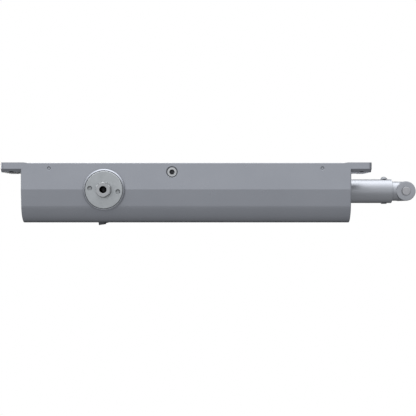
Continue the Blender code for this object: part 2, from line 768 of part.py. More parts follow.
def build_main_arm():
    """Everything that turns with the pinion outside the housing."""
    origin = (0, PINION_Y, ARM_Z)
    centre = (0, PINION_Y, 0)
    along = (0, PINION_Y, ARM_Z)
    spigot_r = TUBE_BORE_R - GAP
    hole_r = RIVET_R + GAP
    reach = TUBE_R + 4
    hub = rod("arm_hub", HUB_R, HUB_BOTTOM, HUB_TOP, ALONG_Z, centre, LARGE, 1.2, origin)
    spigot_end = HUB_RIVET_X + SPIGOT_LONG
    fuse(hub, rod("add_spigot", spigot_r, HUB_R / 2, spigot_end, ALONG_X, along, MEDIUM))
    socket = hexagon(HEX_FLATS + 2 * GAP, math.pi / 2)
    carve(
        hub,
        prism("cut_hub_hex", socket, HUB_BOTTOM - 3, HUB_WEB_BOTTOM, centre=centre),
        rod("cut_hub_counterbore", HUB_COUNTERBORE_R, HUB_WEB_TOP, HUB_TOP + 3, ALONG_Z, centre, MEDIUM),
        rod("cut_hub_bolt_hole", TAP_R, HUB_WEB_BOTTOM - 2, HUB_WEB_TOP + 2, ALONG_Z, centre, SMALL),
        rod("cut_hub_rivet", hole_r, -reach, reach, ALONG_Y, (HUB_RIVET_X, PINION_Y, ARM_Z), SMALL),
    )
    paint(hub, PAINT)

    section = [
        (TUBE_BORE_R, TUBE_LEFT),
        (TUBE_R - 0.3, TUBE_LEFT),
        (TUBE_R, TUBE_LEFT + 0.3),
        (TUBE_R, TUBE_RIGHT - 0.3),
        (TUBE_R - 0.3, TUBE_RIGHT),
        (TUBE_BORE_R, TUBE_RIGHT),
    ]
    tube = turned("arm_tube", section, ALONG_X, along, MEDIUM, origin)
    for end, x in (("hub", HUB_RIVET_X), ("elbow", ELBOW_RIVET_X)):
        carve(tube, rod(f"cut_tube_{end}", hole_r, -reach, reach, ALONG_Y, (x, PINION_Y, ARM_Z), SMALL))
        cross_rivet(f"{end}_rivet", x, (x, PINION_Y, ARM_Z))
    paint(tube, PAINT)

    elbow_centre = (ELBOW_X, PINION_Y, 0)
    elbow_origin = (ELBOW_X, PINION_Y, ARM_Z)
    fitting = eye("elbow_fitting", ELBOW_BOTTOM, ELBOW_TOP, elbow_centre, elbow_origin)
    spigot_end = ELBOW_RIVET_X - SPIGOT_LONG
    fuse(fitting, rod("add_elbow_rod", spigot_r, spigot_end, ELBOW_X, ALONG_X, along, MEDIUM))
    carve(
        fitting,
        rod("cut_elbow_pin", PIN_R + GAP, ELBOW_BOTTOM - 3, ELBOW_TOP + 3, ALONG_Z, elbow_centre, SMALL),
        rod("cut_elbow_rivet", hole_r, -reach, reach, ALONG_Y, (ELBOW_RIVET_X, PINION_Y, ARM_Z), SMALL),
    )
    paint(fitting, PAINT)

    head_low = ELBOW_BOTTOM - 1.3
    far_seat = FOREARM_TOP + GAP
    far_top = far_seat + 2.6
    section = [
        (0, head_low),
        (PIN_HEAD_R - 0.4, head_low),
        (PIN_HEAD_R, head_low + 0.4),
        (PIN_HEAD_R, ELBOW_BOTTOM - GAP),
        (PIN_R, ELBOW_BOTTOM - GAP),
        (PIN_R, far_seat),
        (PIN_FAR_HEAD_R, far_seat),
        (PIN_FAR_HEAD_R, far_top - 1.0),
        (PIN_FAR_HEAD_R - 1.4, far_top),
        (0, far_top),
    ]
    paint(turned("elbow_pin", section, ALONG_Z, elbow_centre, MEDIUM, elbow_origin), STEEL)
    low = ELBOW_TOP + GAP
    high = FOREARM_BOTTOM - GAP
    paint(collar("elbow_washer", PIN_R + GAP, 8.4, low, high, ALONG_Z, elbow_centre), BRASS)

    washer_top = HUB_WEB_TOP + GAP + 1.5
    paint(collar("arm_washer", TAP_R, 7.0, HUB_WEB_TOP + GAP, washer_top, ALONG_Z, centre), STEEL)
    section = [
        (0, HEX_TOP - TAP_DEEP + 2),
        (TAP_R - GAP, HEX_TOP - TAP_DEEP + 2),
        (TAP_R - GAP, washer_top + GAP),
        (5.0, washer_top + GAP),
        (5.0, HUB_TOP + 0.5),
        (4.4, HUB_TOP + 1.0),
        (0, HUB_TOP + 1.0),
    ]
    screw = turned("arm_screw", section, ALONG_Z, centre, MEDIUM, centre)
    carve(screw, prism("cut_arm_screw_socket", hexagon(5.0), HUB_TOP - 2, HUB_TOP + 4, ALONG_Z, centre))
    paint(screw, DARK_STEEL)


def build_forearm():
    """The adjustable second lever: a rod in a sleeve, held by a clamp screw."""
    elbow_centre = (ELBOW_X, PINION_Y, 0)
    elbow_origin = (ELBOW_X, PINION_Y, FOREARM_Z)
    along = (0, PINION_Y, FOREARM_Z)
    lever = eye("forearm_rod", FOREARM_BOTTOM, FOREARM_TOP, elbow_centre, elbow_origin)
    fuse(lever, rod("add_forearm_rod", ROD_R, ROD_LEFT, ELBOW_X - 6, ALONG_X, along, MEDIUM))
    low = FOREARM_BOTTOM - 3
    high = FOREARM_TOP + 3
    carve(lever, rod("cut_forearm_pin", PIN_R + GAP, low, high, ALONG_Z, elbow_centre, SMALL))
    paint(lever, BRIGHT)

    foot_centre = (FOOT_X, PINION_Y, 0)
    sleeve_origin = (FOOT_X, PINION_Y, FOREARM_Z)
    sleeve = eye("forearm_sleeve", FOREARM_BOTTOM, FOREARM_TOP, foot_centre, sleeve_origin)
    clamp_centre = (CLAMP_X, PINION_Y, FOREARM_Z)
    fuse(
        sleeve,
        rod("add_sleeve", SLEEVE_R, FOOT_X + 5, SLEEVE_RIGHT, ALONG_X, along, MEDIUM, 0.6),
        rod("add_clamp_boss", CLAMP_BOSS_R, ROD_R + 1.4, CLAMP_TOP, ALONG_Y, clamp_centre, MEDIUM),
    )
    carve(
        sleeve,
        rod("cut_sleeve_bore", ROD_R + GAP, SLEEVE_BORE_LEFT, SLEEVE_RIGHT + 5, ALONG_X, along, MEDIUM),
        rod("cut_sleeve_pin", PIN_R + GAP, low, high, ALONG_Z, foot_centre, SMALL),
        rod("cut_clamp", CLAMP_R + GAP, ROD_R - 2, CLAMP_TOP + 3, ALONG_Y, clamp_centre, SMALL),
    )
    paint(sleeve, PAINT)

    tip = ROD_R + GAP
    seat = CLAMP_TOP + GAP
    head_r = 5.2
    head_top = seat + 4.3
    chamfer = 0.6
    section = [
        (0, tip),
        (CLAMP_R - chamfer, tip),
        (CLAMP_R, tip + chamfer),
        (CLAMP_R, seat),
        (head_r, seat),
        (head_r, head_top - chamfer),
        (head_r - chamfer, head_top),
        (0, head_top),
    ]
    clamp = turned("clamp_screw", section, ALONG_Y, clamp_centre, MEDIUM, clamp_centre)
    socket = prism("cut_clamp_socket", hexagon(5.0), head_top - 3.1, head_top + 3, ALONG_Y, clamp_centre)
    paint(carve(clamp, socket), DARK_STEEL)


def foot_point(along, out):
    """A point of the foot in plan: along its base plate, and out from the pivot towards it."""
    x = FOOT_X + along * math.sin(FOOT_TURN) - out * math.cos(FOOT_TURN)
    y = PINION_Y + along * math.cos(FOOT_TURN) + out * math.sin(FOOT_TURN)
    return x, y


def build_foot():
    """An angle bracket: a base plate that is screwed down and a leg with the pivot."""
    origin = (FOOT_X, PINION_Y, FOREARM_Z)
    top = FOOT_BOTTOM + FOOT_THICK
    inner = FOOT_STANDOFF - FOOT_THICK
    base = [
        foot_point(-FOOT_HALF, inner),
        foot_point(FOOT_HALF, inner),
        foot_point(FOOT_HALF, FOOT_STANDOFF),
        foot_point(-FOOT_HALF, FOOT_STANDOFF),
    ]
    bracket = prism("foot_bracket", base, FOOT_BASE_BOTTOM, top, origin=origin)
    shoulder = inner - FOOT_LEG_STRAIGHT
    leg = [foot_point(-FOOT_LEG_HALF, inner + 1), foot_point(-FOOT_LEG_HALF, shoulder)]
    steps = 8
    first = math.radians(35)
    for step in range(steps + 1):
        turn = math.pi + first + (math.pi - 2 * first) * step / steps
        leg.append(foot_point(FOOT_EYE_R * math.cos(turn), FOOT_EYE_R * math.sin(turn)))
    leg += [foot_point(FOOT_LEG_HALF, shoulder), foot_point(FOOT_LEG_HALF, inner + 1)]
    fuse(bracket, prism("add_foot_leg", leg, FOOT_BOTTOM, top))
    foot_centre = (FOOT_X, PINION_Y, 0)
    carve(bracket, rod("cut_foot_pin", PIN_R + GAP, FOOT_BOTTOM - 3, top + 3, ALONG_Z, foot_centre, SMALL))
    outward = Matrix.Rotation(-FOOT_TURN, 3, 'Z') @ ALONG_X
    for index, reach in enumerate((-FOOT_HOLE_REACH, FOOT_HOLE_REACH)):
        x, y = foot_point(reach, FOOT_STANDOFF)
        centre = (x, y, FOOT_HOLE_Z)
        carve(bracket, rod(f"cut_foot_screw_{index}", FOOT_HOLE_R, -8, 12, outward, centre, SMALL))
    paint(bracket, FOOT_PAINT)

    washer_low = top + GAP
    washer_high = washer_low + FOOT_WASHER_THICK
    washer = collar("foot_washer", PIN_R + GAP, FOOT_WASHER_R, washer_low, washer_high, ALONG_Z, foot_centre)
    paint(washer, STEEL)
    tip = FOREARM_BOTTOM + 0.4
    head_low = washer_high + GAP
    head_top = head_low + 2.6
    section = [
        (0, tip),
        (PIN_R - 0.5, tip),
        (PIN_R, tip + 0.5),
        (PIN_R, head_low),
        (FOOT_PIN_HEAD_R, head_low),
        (FOOT_PIN_HEAD_R, head_top - 1.0),
        (FOOT_PIN_HEAD_R - 1.2, head_top),
        (0, head_top),
    ]
    paint(turned("foot_pin", section, ALONG_Z, foot_centre, MEDIUM, origin), STEEL)


def main():
    clear_scene()
    build_housing()
    build_end_plugs()
    build_pinion_supports()
    build_pinion()
    build_piston()
    build_spring()
    build_spring_adjuster()
    build_valves()
    build_main_arm()
    build_forearm()
    build_foot()


main()
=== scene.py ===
"""Surface-mounted door closer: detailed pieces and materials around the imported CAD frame.

Sizes are in millimetres.  +X runs along the body towards the spring end, -Y
points into the door and +Z is the pinion's axis, up towards the arm.  The
camera looks up along +Z at the end of the pinion, with the door side on top.
"""
import json
import math

import bmesh
import bpy
from mathutils import Matrix, Vector


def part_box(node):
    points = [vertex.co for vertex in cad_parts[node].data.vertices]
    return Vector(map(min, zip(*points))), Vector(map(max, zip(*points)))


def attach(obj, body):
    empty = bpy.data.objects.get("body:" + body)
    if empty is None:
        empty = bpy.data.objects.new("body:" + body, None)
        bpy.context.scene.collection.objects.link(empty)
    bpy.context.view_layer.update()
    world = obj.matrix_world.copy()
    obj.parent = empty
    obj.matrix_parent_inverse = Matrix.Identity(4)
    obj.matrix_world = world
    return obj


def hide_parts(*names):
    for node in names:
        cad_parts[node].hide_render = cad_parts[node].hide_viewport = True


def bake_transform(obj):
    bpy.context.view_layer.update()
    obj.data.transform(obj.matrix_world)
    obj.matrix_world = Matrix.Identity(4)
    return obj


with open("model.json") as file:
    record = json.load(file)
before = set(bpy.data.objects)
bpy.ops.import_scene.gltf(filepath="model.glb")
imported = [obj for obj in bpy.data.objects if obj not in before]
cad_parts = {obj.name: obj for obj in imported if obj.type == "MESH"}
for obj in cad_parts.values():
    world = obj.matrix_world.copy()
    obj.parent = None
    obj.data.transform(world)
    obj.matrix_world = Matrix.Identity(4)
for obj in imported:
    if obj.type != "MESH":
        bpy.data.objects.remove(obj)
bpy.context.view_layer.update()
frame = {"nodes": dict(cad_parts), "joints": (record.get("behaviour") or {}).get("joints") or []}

MM = 0.001
ALONG_Z = Matrix(((1, 0, 0), (0, 1, 0), (0, 0, 1)))
ALONG_X = Matrix(((0, 0, 1), (1, 0, 0), (0, 1, 0)))
ALONG_Y = Matrix(((0, 1, 0), (0, 0, 1), (1, 0, 0)))
FINE = 96
ROUND = 64
SMALL = 40

joint_places = {
    joint["name"]: Vector(joint["pos_m"]) / MM for joint in frame["joints"] if "pos_m" in joint
}


def low(node):
    """The lowest corner of a CAD node's box at rest, in millimetres."""
    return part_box(node)[0] / MM


def high(node):
    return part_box(node)[1] / MM


def middle(node):
    return (low(node) + high(node)) / 2


# ---------------------------------------------------------------- mesh tools


def finish_mesh(name, shape, origin=(0, 0, 0)):
    """A bmesh in world millimetres becomes an object with its origin at the given point."""
    bmesh.ops.recalc_face_normals(shape, faces=shape.faces)
    bmesh.ops.translate(shape, verts=shape.verts, vec=[-value for value in origin])
    bmesh.ops.scale(shape, verts=shape.verts, vec=(MM, MM, MM))
    mesh = bpy.data.meshes.new(name)
    shape.to_mesh(mesh)
    shape.free()
    piece = bpy.data.objects.new(name, mesh)
    piece.location = [value * MM for value in origin]
    bpy.context.scene.collection.objects.link(piece)
    return piece


def loft(name, loops, origin=(0, 0, 0)):
    """A closed skin over loops that all have the same number of points."""
    shape = bmesh.new()
    rings = [[shape.verts.new(point) for point in loop] for loop in loops]
    count = len(rings[0])
    for lower, upper in zip(rings, rings[1:]):
        for index in range(count):
            after = (index + 1) % count
            shape.faces.new((lower[index], lower[after], upper[after], upper[index]))
    shape.faces.new(rings[0])
    shape.faces.new(rings[-1])
    return finish_mesh(name, shape, origin)


def place(basis, centre, u, v, w):
    """A point given along the basis's three axes from the centre."""
    return Vector(centre) + basis @ Vector((u, v, w))


def prism(name, outline, start, stop, basis=ALONG_Z, centre=(0, 0, 0), origin=(0, 0, 0)):
    """An outline on the basis's first two axes, extruded from start to stop on its third."""
    loops = [[place(basis, centre, u, v, level) for u, v in outline] for level in (start, stop)]
    return loft(name, loops, origin)


def turned(name, section, basis=ALONG_Z, centre=(0, 0, 0), sides=ROUND, origin=(0, 0, 0)):
    """A closed (radius, height) section, revolved round the basis's third axis through centre."""
    shape = bmesh.new()
    rings = []
    for radius, height in section:
        ring = []
        for step in range(sides if radius > 0 else 1):
            angle = 2 * math.pi * step / sides
            point = place(basis, centre, radius * math.cos(angle), radius * math.sin(angle), height)
            ring.append(shape.verts.new(point))
        rings.append(ring)
    for ring, following in zip(rings, rings[1:] + rings[:1]):
        if len(ring) == 1 and len(following) == 1:
            continue
        for step in range(sides):
            after = (step + 1) % sides
            corners = [ring[step % len(ring)], ring[after % len(ring)]]
            corners += [following[after % len(following)], following[step % len(following)]]
            shape.faces.new(list(dict.fromkeys(corners)))
    return finish_mesh(name, shape, origin)


def bar(name, radius, start, stop, basis=ALONG_Z, centre=(0, 0, 0), sides=ROUND):
    """A plain round solid, used for cutters and for stock that others are joined to."""
    return turned(name, [(0, start), (radius, start), (radius, stop), (0, stop)], basis, centre, sides)


def hexagon(flats, turn=0.0):
    """An outline with the given size across flats."""
    corner = flats / 2 / math.cos(math.pi / 6)
    angles = [turn + math.pi / 3 * index for index in range(6)]
    return [(corner * math.cos(angle), corner * math.sin(angle)) for angle in angles]


def arc(centre, radius, first, last, steps):
    """Points on an arc, angles in degrees."""
    points = []
    for step in range(steps + 1):
        angle = math.radians(first + (last - first) * step / steps)
        points.append((centre[0] + radius * math.cos(angle), centre[1] + radius * math.sin(angle)))
    return points


def grooved(radius, depth, start, stop, pitch):
    """A (radius, height) run with V-shaped thread grooves from start to stop."""
    count = max(1, round(abs(stop - start) / pitch))
    step = (stop - start) / count
    points = [(radius, start)]
    for index in range(count):
        points.append((radius - depth, start + step * (index + 0.5)))
        points.append((radius, start + step * (index + 1)))
    return points


def use(target, operation, tools):
    """Join tools to the target, or cut them out of it, and remove them."""
    for tool in tools:
        step = target.modifiers.new("shape", 'BOOLEAN')
        step.operation = operation
        step.object = tool
        step.solver = 'EXACT'
    depsgraph = bpy.context.evaluated_depsgraph_get()
    mesh = bpy.data.meshes.new_from_object(target.evaluated_get(depsgraph))
    target.modifiers.clear()
    target.data = mesh
    for tool in tools:
        bpy.data.objects.remove(tool, do_unlink=True)
    return target


def cut(target, *tools):
    return use(target, 'DIFFERENCE', tools)


def join(target, *tools):
    return use(target, 'UNION', tools)


def soften(piece, width, angle=28, segments=3, creases=None):
    """Shade a piece smooth, keep its creases and round its edges by a small bevel."""
    mesh = piece.data
    mesh.shade_smooth()
    mesh.set_sharp_from_angle(angle=math.radians(angle))
    if creases:
        for edge in mesh.edges:
            ends = [piece.matrix_world @ mesh.vertices[index].co / MM for index in edge.vertices]
            if all(creases(end) for end in ends):
                edge.use_edge_sharp = True
    if width:
        bevel = piece.modifiers.new("edge", 'BEVEL')
        bevel.width = width * MM
        bevel.segments = segments
        bevel.limit_method = 'ANGLE'
        bevel.angle_limit = math.radians(angle)
        bevel.harden_normals = True
    even = piece.modifiers.new("normals", 'WEIGHTED_NORMAL')
    even.keep_sharp = True


def line(piece, material, inside):
    """Give a second material to the faces whose corners, in world millimetres, all lie inside."""
    piece.data.materials.append(material)
    corners = [inside(piece.matrix_world @ vertex.co / MM) for vertex in piece.data.vertices]
    for face in piece.data.polygons:
        if all(corners[index] for index in face.vertices):
            face.material_index = 1


def dress(piece, material):
    piece.data.materials.clear()
    piece.data.materials.append(material)


def fit(piece, body, material, nodes):
    """Dress a piece, let it stand for its CAD nodes and hang it on its body."""
    dress(piece, material)
    if nodes:
        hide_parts(*nodes)
    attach(piece, body)


# ----------------------------------------------------------------- materials


class Shader:
    """A Principled material with helpers that add the nodes it is made of."""

    def __init__(self, name, metallic, roughness):
        self.material = bpy.data.materials.new(name)
        self.material.use_nodes = True
        self.tree = self.material.node_tree
        self.surface = self.tree.nodes["Principled BSDF"]
        self.surface.inputs["Metallic"].default_value = metallic
        self.surface.inputs["Roughness"].default_value = roughness
        self.coordinates = self.tree.nodes.new("ShaderNodeTexCoord").outputs["Object"]

    def link(self, source, target):
        self.tree.links.new(source, target)

    def stretched(self, scale):
        mapping = self.tree.nodes.new("ShaderNodeMapping")
        mapping.inputs["Scale"].default_value = scale
        self.link(self.coordinates, mapping.inputs["Vector"])
        return mapping.outputs["Vector"]

    def noise(self, scale, detail, vector=None):
        node = self.tree.nodes.new("ShaderNodeTexNoise")
        node.inputs["Scale"].default_value = scale
        node.inputs["Detail"].default_value = detail
        node.inputs["Roughness"].default_value = 0.55
        self.link(vector or self.coordinates, node.inputs["Vector"])
        return node.outputs["Fac"]

    def rings(self, scale):
        """Fine turning marks round the piece's own Z axis."""
        node = self.tree.nodes.new("ShaderNodeTexWave")
        node.wave_type = 'RINGS'
        node.rings_direction = 'Z'
        node.inputs["Scale"].default_value = scale
        node.inputs["Distortion"].default_value = 0.4
        node.inputs["Detail"].default_value = 3.0
        node.inputs["Detail Scale"].default_value = 6.0
        self.link(self.coordinates, node.inputs["Vector"])
        return node.outputs["Fac"]

    def ramp(self, factor, stops):
        """A blend between two stops, each (position, colour)."""
        node = self.tree.nodes.new("ShaderNodeValToRGB")
        for element, (position, colour) in zip(node.color_ramp.elements, stops):
            element.position = position
            element.color = (*colour, 1)
        self.link(factor, node.inputs["Fac"])
        return node.outputs["Color"]

    def between(self, factor, smallest, largest):
        node = self.tree.nodes.new("ShaderNodeMapRange")
        node.inputs["To Min"].default_value = smallest
        node.inputs["To Max"].default_value = largest
        self.link(factor, node.inputs["Value"])
        return node.outputs["Result"]

    def paint_crevice_shade(self, colour, factor_low, factor_high, shade, distance):
        """Painted shade: darken a colour where the surface is enclosed, such as in grooves and corners,
        by ambient occlusion.
        """
        shut = self.tree.nodes.new("ShaderNodeAmbientOcclusion")
        shut.samples = 6
        shut.inputs["Distance"].default_value = distance * MM
        mask = self.ramp(shut.outputs["AO"], [(factor_low, (1, 1, 1)), (factor_high, (0, 0, 0))])
        mix = self.tree.nodes.new("ShaderNodeMix")
        mix.data_type = 'RGBA'
        mix.inputs["B"].default_value = (*shade, 1)
        self.link(mask, mix.inputs["Factor"])
        self.link(colour, mix.inputs["A"])
        return mix.outputs["Result"]

    def bumps(self, *layers):
        """Stack bump layers, each (height, strength, distance in millimetres)."""
        normal = None
        for height, strength, distance in layers:
            node = self.tree.nodes.new("ShaderNodeBump")
            node.inputs["Strength"].default_value = strength
            node.inputs["Distance"].default_value = distance * MM
            self.link(height, node.inputs["Height"])
            if normal:
                self.link(normal, node.inputs["Normal"])
            normal = node.outputs["Normal"]
        self.link(normal, self.surface.inputs["Normal"])


def painted_metal(name, dark, light, roughness, metallic):
    """Fine metallic paint over a casting: cloudy tone, faint orange peel, tiny flakes and painted shade
    in its crevices.
    """
    shader = Shader(name, metallic, roughness)
    cloud = shader.noise(28, 5)
    tone = shader.ramp(cloud, [(0.30, dark), (0.72, light)])
    # Painted shade: the paint is darkened in crevices and corners, where shade falls.
    tone = shader.paint_crevice_shade(tone, 0.30, 0.85, [value * 0.62 for value in dark], 2.0)
    shader.link(tone, shader.surface.inputs["Base Color"])
    spread = shader.between(shader.noise(160, 3), roughness - 0.02, roughness + 0.03)
    shader.link(spread, shader.surface.inputs["Roughness"])
    shader.bumps((shader.noise(600, 2), 0.05, 0.02), (shader.noise(3800, 2), 0.04, 0.008))
    shader.surface.inputs["Coat Weight"].default_value = 0.10
    shader.surface.inputs["Coat Roughness"].default_value = 0.28
    return shader.material


def turned_metal(name, dark, light, roughness, ring_scale):
    """Bare steel or brass with turning marks round the piece's axis, a little patchy staining and
    painted shade in its hollows.
    """
    shader = Shader(name, 1.0, roughness)
    tone = shader.ramp(shader.noise(90, 5), [(0.28, dark), (0.75, light)])
    # Painted shade: the metal is darkened strongly in grooves and holes, where shade falls.
    tone = shader.paint_crevice_shade(tone, 0.25, 0.80, [value * 0.30 for value in dark], 1.5)
    shader.link(tone, shader.surface.inputs["Base Color"])
    spread = shader.between(shader.noise(420, 3), roughness - 0.06, roughness + 0.09)
    shader.link(spread, shader.surface.inputs["Roughness"])
    shader.bumps((shader.rings(ring_scale), 0.20, 0.010), (shader.noise(2600, 2), 0.10, 0.008))
    return shader.material


def drawn_metal(name, dark, light, roughness, along):
    """Bare metal with fine scratches that run along one axis, and painted shade in its hollows."""
    shader = Shader(name, 1.0, roughness)
    tone = shader.ramp(shader.noise(70, 5), [(0.28, dark), (0.75, light)])
    # Painted shade: the metal is darkened in grooves and holes, where shade falls.
    tone = shader.paint_crevice_shade(tone, 0.25, 0.80, [value * 0.35 for value in dark], 1.5)
    shader.link(tone, shader.surface.inputs["Base Color"])
    stretch = [30 if axis == along else 2200 for axis in "XYZ"]
    scratches = shader.noise(1.0, 3, vector=shader.stretched(stretch))
    spread = shader.between(scratches, roughness - 0.07, roughness + 0.09)
    shader.link(spread, shader.surface.inputs["Roughness"])
    shader.bumps((scratches, 0.18, 0.010), (shader.noise(1500, 2), 0.08, 0.008))
    return shader.material


def black_steel(name):
    """Blackened, oiled steel."""
    shader = Shader(name, 0.85, 0.42)
    dark = (0.035, 0.036, 0.040)
    light = (0.085, 0.085, 0.090)
    tone = shader.ramp(shader.noise(220, 6), [(0.30, dark), (0.75, light)])
    shader.link(tone, shader.surface.inputs["Base Color"])
    shader.link(shader.between(shader.noise(700, 3), 0.34, 0.52), shader.surface.inputs["Roughness"])
    shader.bumps((shader.noise(1800, 3), 0.20, 0.012))
    return shader.material


def black_rubber(name):
    shader = Shader(name, 0.0, 0.62)
    dark = (0.012, 0.012, 0.013)
    light = (0.030, 0.030, 0.031)
    tone = shader.ramp(shader.noise(300, 4), [(0.30, dark), (0.75, light)])
    shader.link(tone, shader.surface.inputs["Base Color"])
    shader.link(shader.between(shader.noise(900, 2), 0.52, 0.72), shader.surface.inputs["Roughness"])
    shader.bumps((shader.noise(2200, 2), 0.30, 0.02))
    return shader.material


BODY_PAINT = painted_metal("body_paint", (0.365, 0.380, 0.410), (0.385, 0.400, 0.430), 0.28, 0.85)
ARM_PAINT = painted_metal("arm_paint", (0.400, 0.412, 0.435), (0.425, 0.437, 0.460), 0.42, 0.85)
CAP_METAL = turned_metal("cap_metal", (0.43, 0.45, 0.455), (0.52, 0.54, 0.545), 0.40, 900)
HEX_METAL = turned_metal("hex_metal", (0.43, 0.44, 0.445), (0.52, 0.53, 0.535), 0.42, 700)
BRIGHT_METAL = turned_metal("bright_metal", (0.48, 0.49, 0.50), (0.60, 0.61, 0.62), 0.30, 700)
ROD_METAL = drawn_metal("rod_metal", (0.46, 0.47, 0.48), (0.57, 0.58, 0.59), 0.30, "X")
PLAIN_STEEL = turned_metal("plain_steel", (0.38, 0.38, 0.39), (0.52, 0.52, 0.53), 0.34, 600)
RIVET_STEEL = drawn_metal("rivet_steel", (0.22, 0.23, 0.24), (0.31, 0.32, 0.33), 0.50, "Y")
BRASS = turned_metal("valve_brass", (0.50, 0.42, 0.24), (0.62, 0.53, 0.33), 0.33, 700)
VALVE_METAL = turned_metal("valve_metal", (0.50, 0.51, 0.51), (0.62, 0.63, 0.63), 0.34, 700)
# Painted shade: the foot's paint is made much darker than the body's to stand for the shade it lies in
# behind the body.
SHADED_FOOT_PAINT = painted_metal("shaded_foot_paint", (0.095, 0.099, 0.107), (0.110, 0.114, 0.123), 0.38, 0.80)
BLACK_STEEL = black_steel("black_steel")
# Painted shade: near-black steel put on the walls of deep holes to stand for the shade inside them.
HOLE_SHADE_STEEL = black_steel("painted_hole_shade")
RUBBER = black_rubber("black_rubber")

# ------------------------------------------------------------- the main sizes

PINION = joint_places["pinion_spin"]
PINION_CENTRE = (PINION.x, PINION.y, 0)
ELBOW = joint_places["elbow_pivot"]
FOOT_PIVOT = joint_places["foot_pivot"]
ARM_Z = middle("arm_tube").z
FOREARM_Z = FOOT_PIVOT.z
PLUG_INSET = 0.6
BODY_LEFT = low("end_plug_left").x - PLUG_INSET
BODY_RIGHT = high("end_plug_right").x + PLUG_INSET
BORE = (0, middle("end_plug_left").y, 0)
BORE_R = 18.0
HALF_HEIGHT = 30.0
BODY_BACK = 0.45
DEPTH = high("housing").y
FLAT_DEPTH = 25.4
NOSE_R = 19.5
NOSE_CENTRE = (38.0, 8.77)
NOSE_START = 7.15
END_ROUND = 1.0
BOSS_TOP = high("housing").z
SCREW_HOLE_R = 3.6
LUG_HOLES_X = (-87.8, 242.8)
LUG_HOLE_Z = 23.5
SHAFT_END = 33.2
HEX_FLATS = 12.7
EYE_R = 9.8
ARM_ROD_R = 9.7
RIVET_HOLE_R = 2.8
THREAD_PITCH = 1.0


# ----------------------------------------------------------------- the housing


def nose_curve(inset):
    """From the second facet's end, which it meets without a kink, round to the flat nose."""
    radius = NOSE_R - inset
    finish = math.degrees(math.acos((DEPTH - inset - NOSE_CENTRE[0]) / radius))
    return arc(NOSE_CENTRE, radius, 90 - NOSE_START, finish, 24)


def body_section(inset):
    """The body's (y, z) outline, shrunk by the inset."""
    edge = 0.5
    upper = arc((BODY_BACK + inset + edge, HALF_HEIGHT - inset - edge), edge, 180, 90, 4)
    upper.append((FLAT_DEPTH, HALF_HEIGHT - inset))
    upper += nose_curve(inset)
    return upper + [(y, -z) for y, z in reversed(upper)]


def body_blank():
    """The extruded body with softly rounded ends."""
    steps = 4
    stations = []
    for step in range(steps + 1):
        angle = math.pi / 2 * step / steps
        inset = END_ROUND * (1 - math.sin(angle))
        stations.append((BODY_LEFT + END_ROUND * (1 - math.cos(angle)), inset))
    stations += [(BODY_LEFT + BODY_RIGHT - x, inset) for x, inset in reversed(stations)]
    return loft("housing_body", [[(x, y, z) for y, z in body_section(inset)] for x, inset in stations])


def lug_outline(outer, inner, half, corner):
    """An (x, z) outline with its two outer corners rounded."""
    steps = 8
    side = math.copysign(1, outer - inner)
    points = [(inner, -half)]
    for sign in (-1, 1):
        for step in range(steps + 1):
            angle = math.pi / 2 * step / steps
            if sign > 0:
                angle = math.pi / 2 - angle
            x = outer - side * corner * (1 - math.sin(angle))
            points.append((x, sign * (half - corner * (1 - math.cos(angle)))))
    points.append((inner, half))
    return points


def lug(outer, body_end):
    """A mounting lug: a wall on the door with a raised pad that slopes down to its edges."""
    wall = 6.0
    wall_corner = 4.0
    pad = 9.05
    pad_half = 26.0
    pad_inset = 0.4
    pad_corner = 1.5
    side = math.copysign(1, outer - body_end)
    inner = body_end - side * 3.0
    relieved = inner - side * 3.1
    stations = [
        (0.0, outer, inner, HALF_HEIGHT, wall_corner),
        (BODY_BACK, outer, relieved, HALF_HEIGHT, wall_corner),
        (wall, outer, relieved, HALF_HEIGHT, wall_corner),
        (pad, outer - side * pad_inset, relieved, pad_half, pad_corner),
    ]
    loops = []
    for y, outer_x, inner_x, half, corner in stations:
        loops.append([(x, y, z) for x, z in lug_outline(outer_x, inner_x, half, corner)])
    return loft("lug", loops)


def boss(side):
    """The round boss that holds a pinion cap."""
    radius = 19.7
    chamfer = 1.2
    inside = 22
    section = [
        (0, side * inside),
        (radius, side * inside),
        (radius, side * (BOSS_TOP - chamfer)),
        (radius - chamfer, side * BOSS_TOP),
        (0, side * BOSS_TOP),
    ]
    return turned("boss", section, centre=PINION_CENTRE, sides=FINE)


def pinion_bore():
    """The cross bore: room for the pinion, then seats for the bearings, seals and caps."""
    upper = [(12.9, 24.45), (14.3, 24.45), (14.3, 26.7), (18.1, 26.7), (18.1, 35), (0, 35)]
    section = [(radius, -height) for radius, height in reversed(upper)] + upper
    return turned("pinion_bore", section, centre=PINION_CENTRE, sides=FINE)


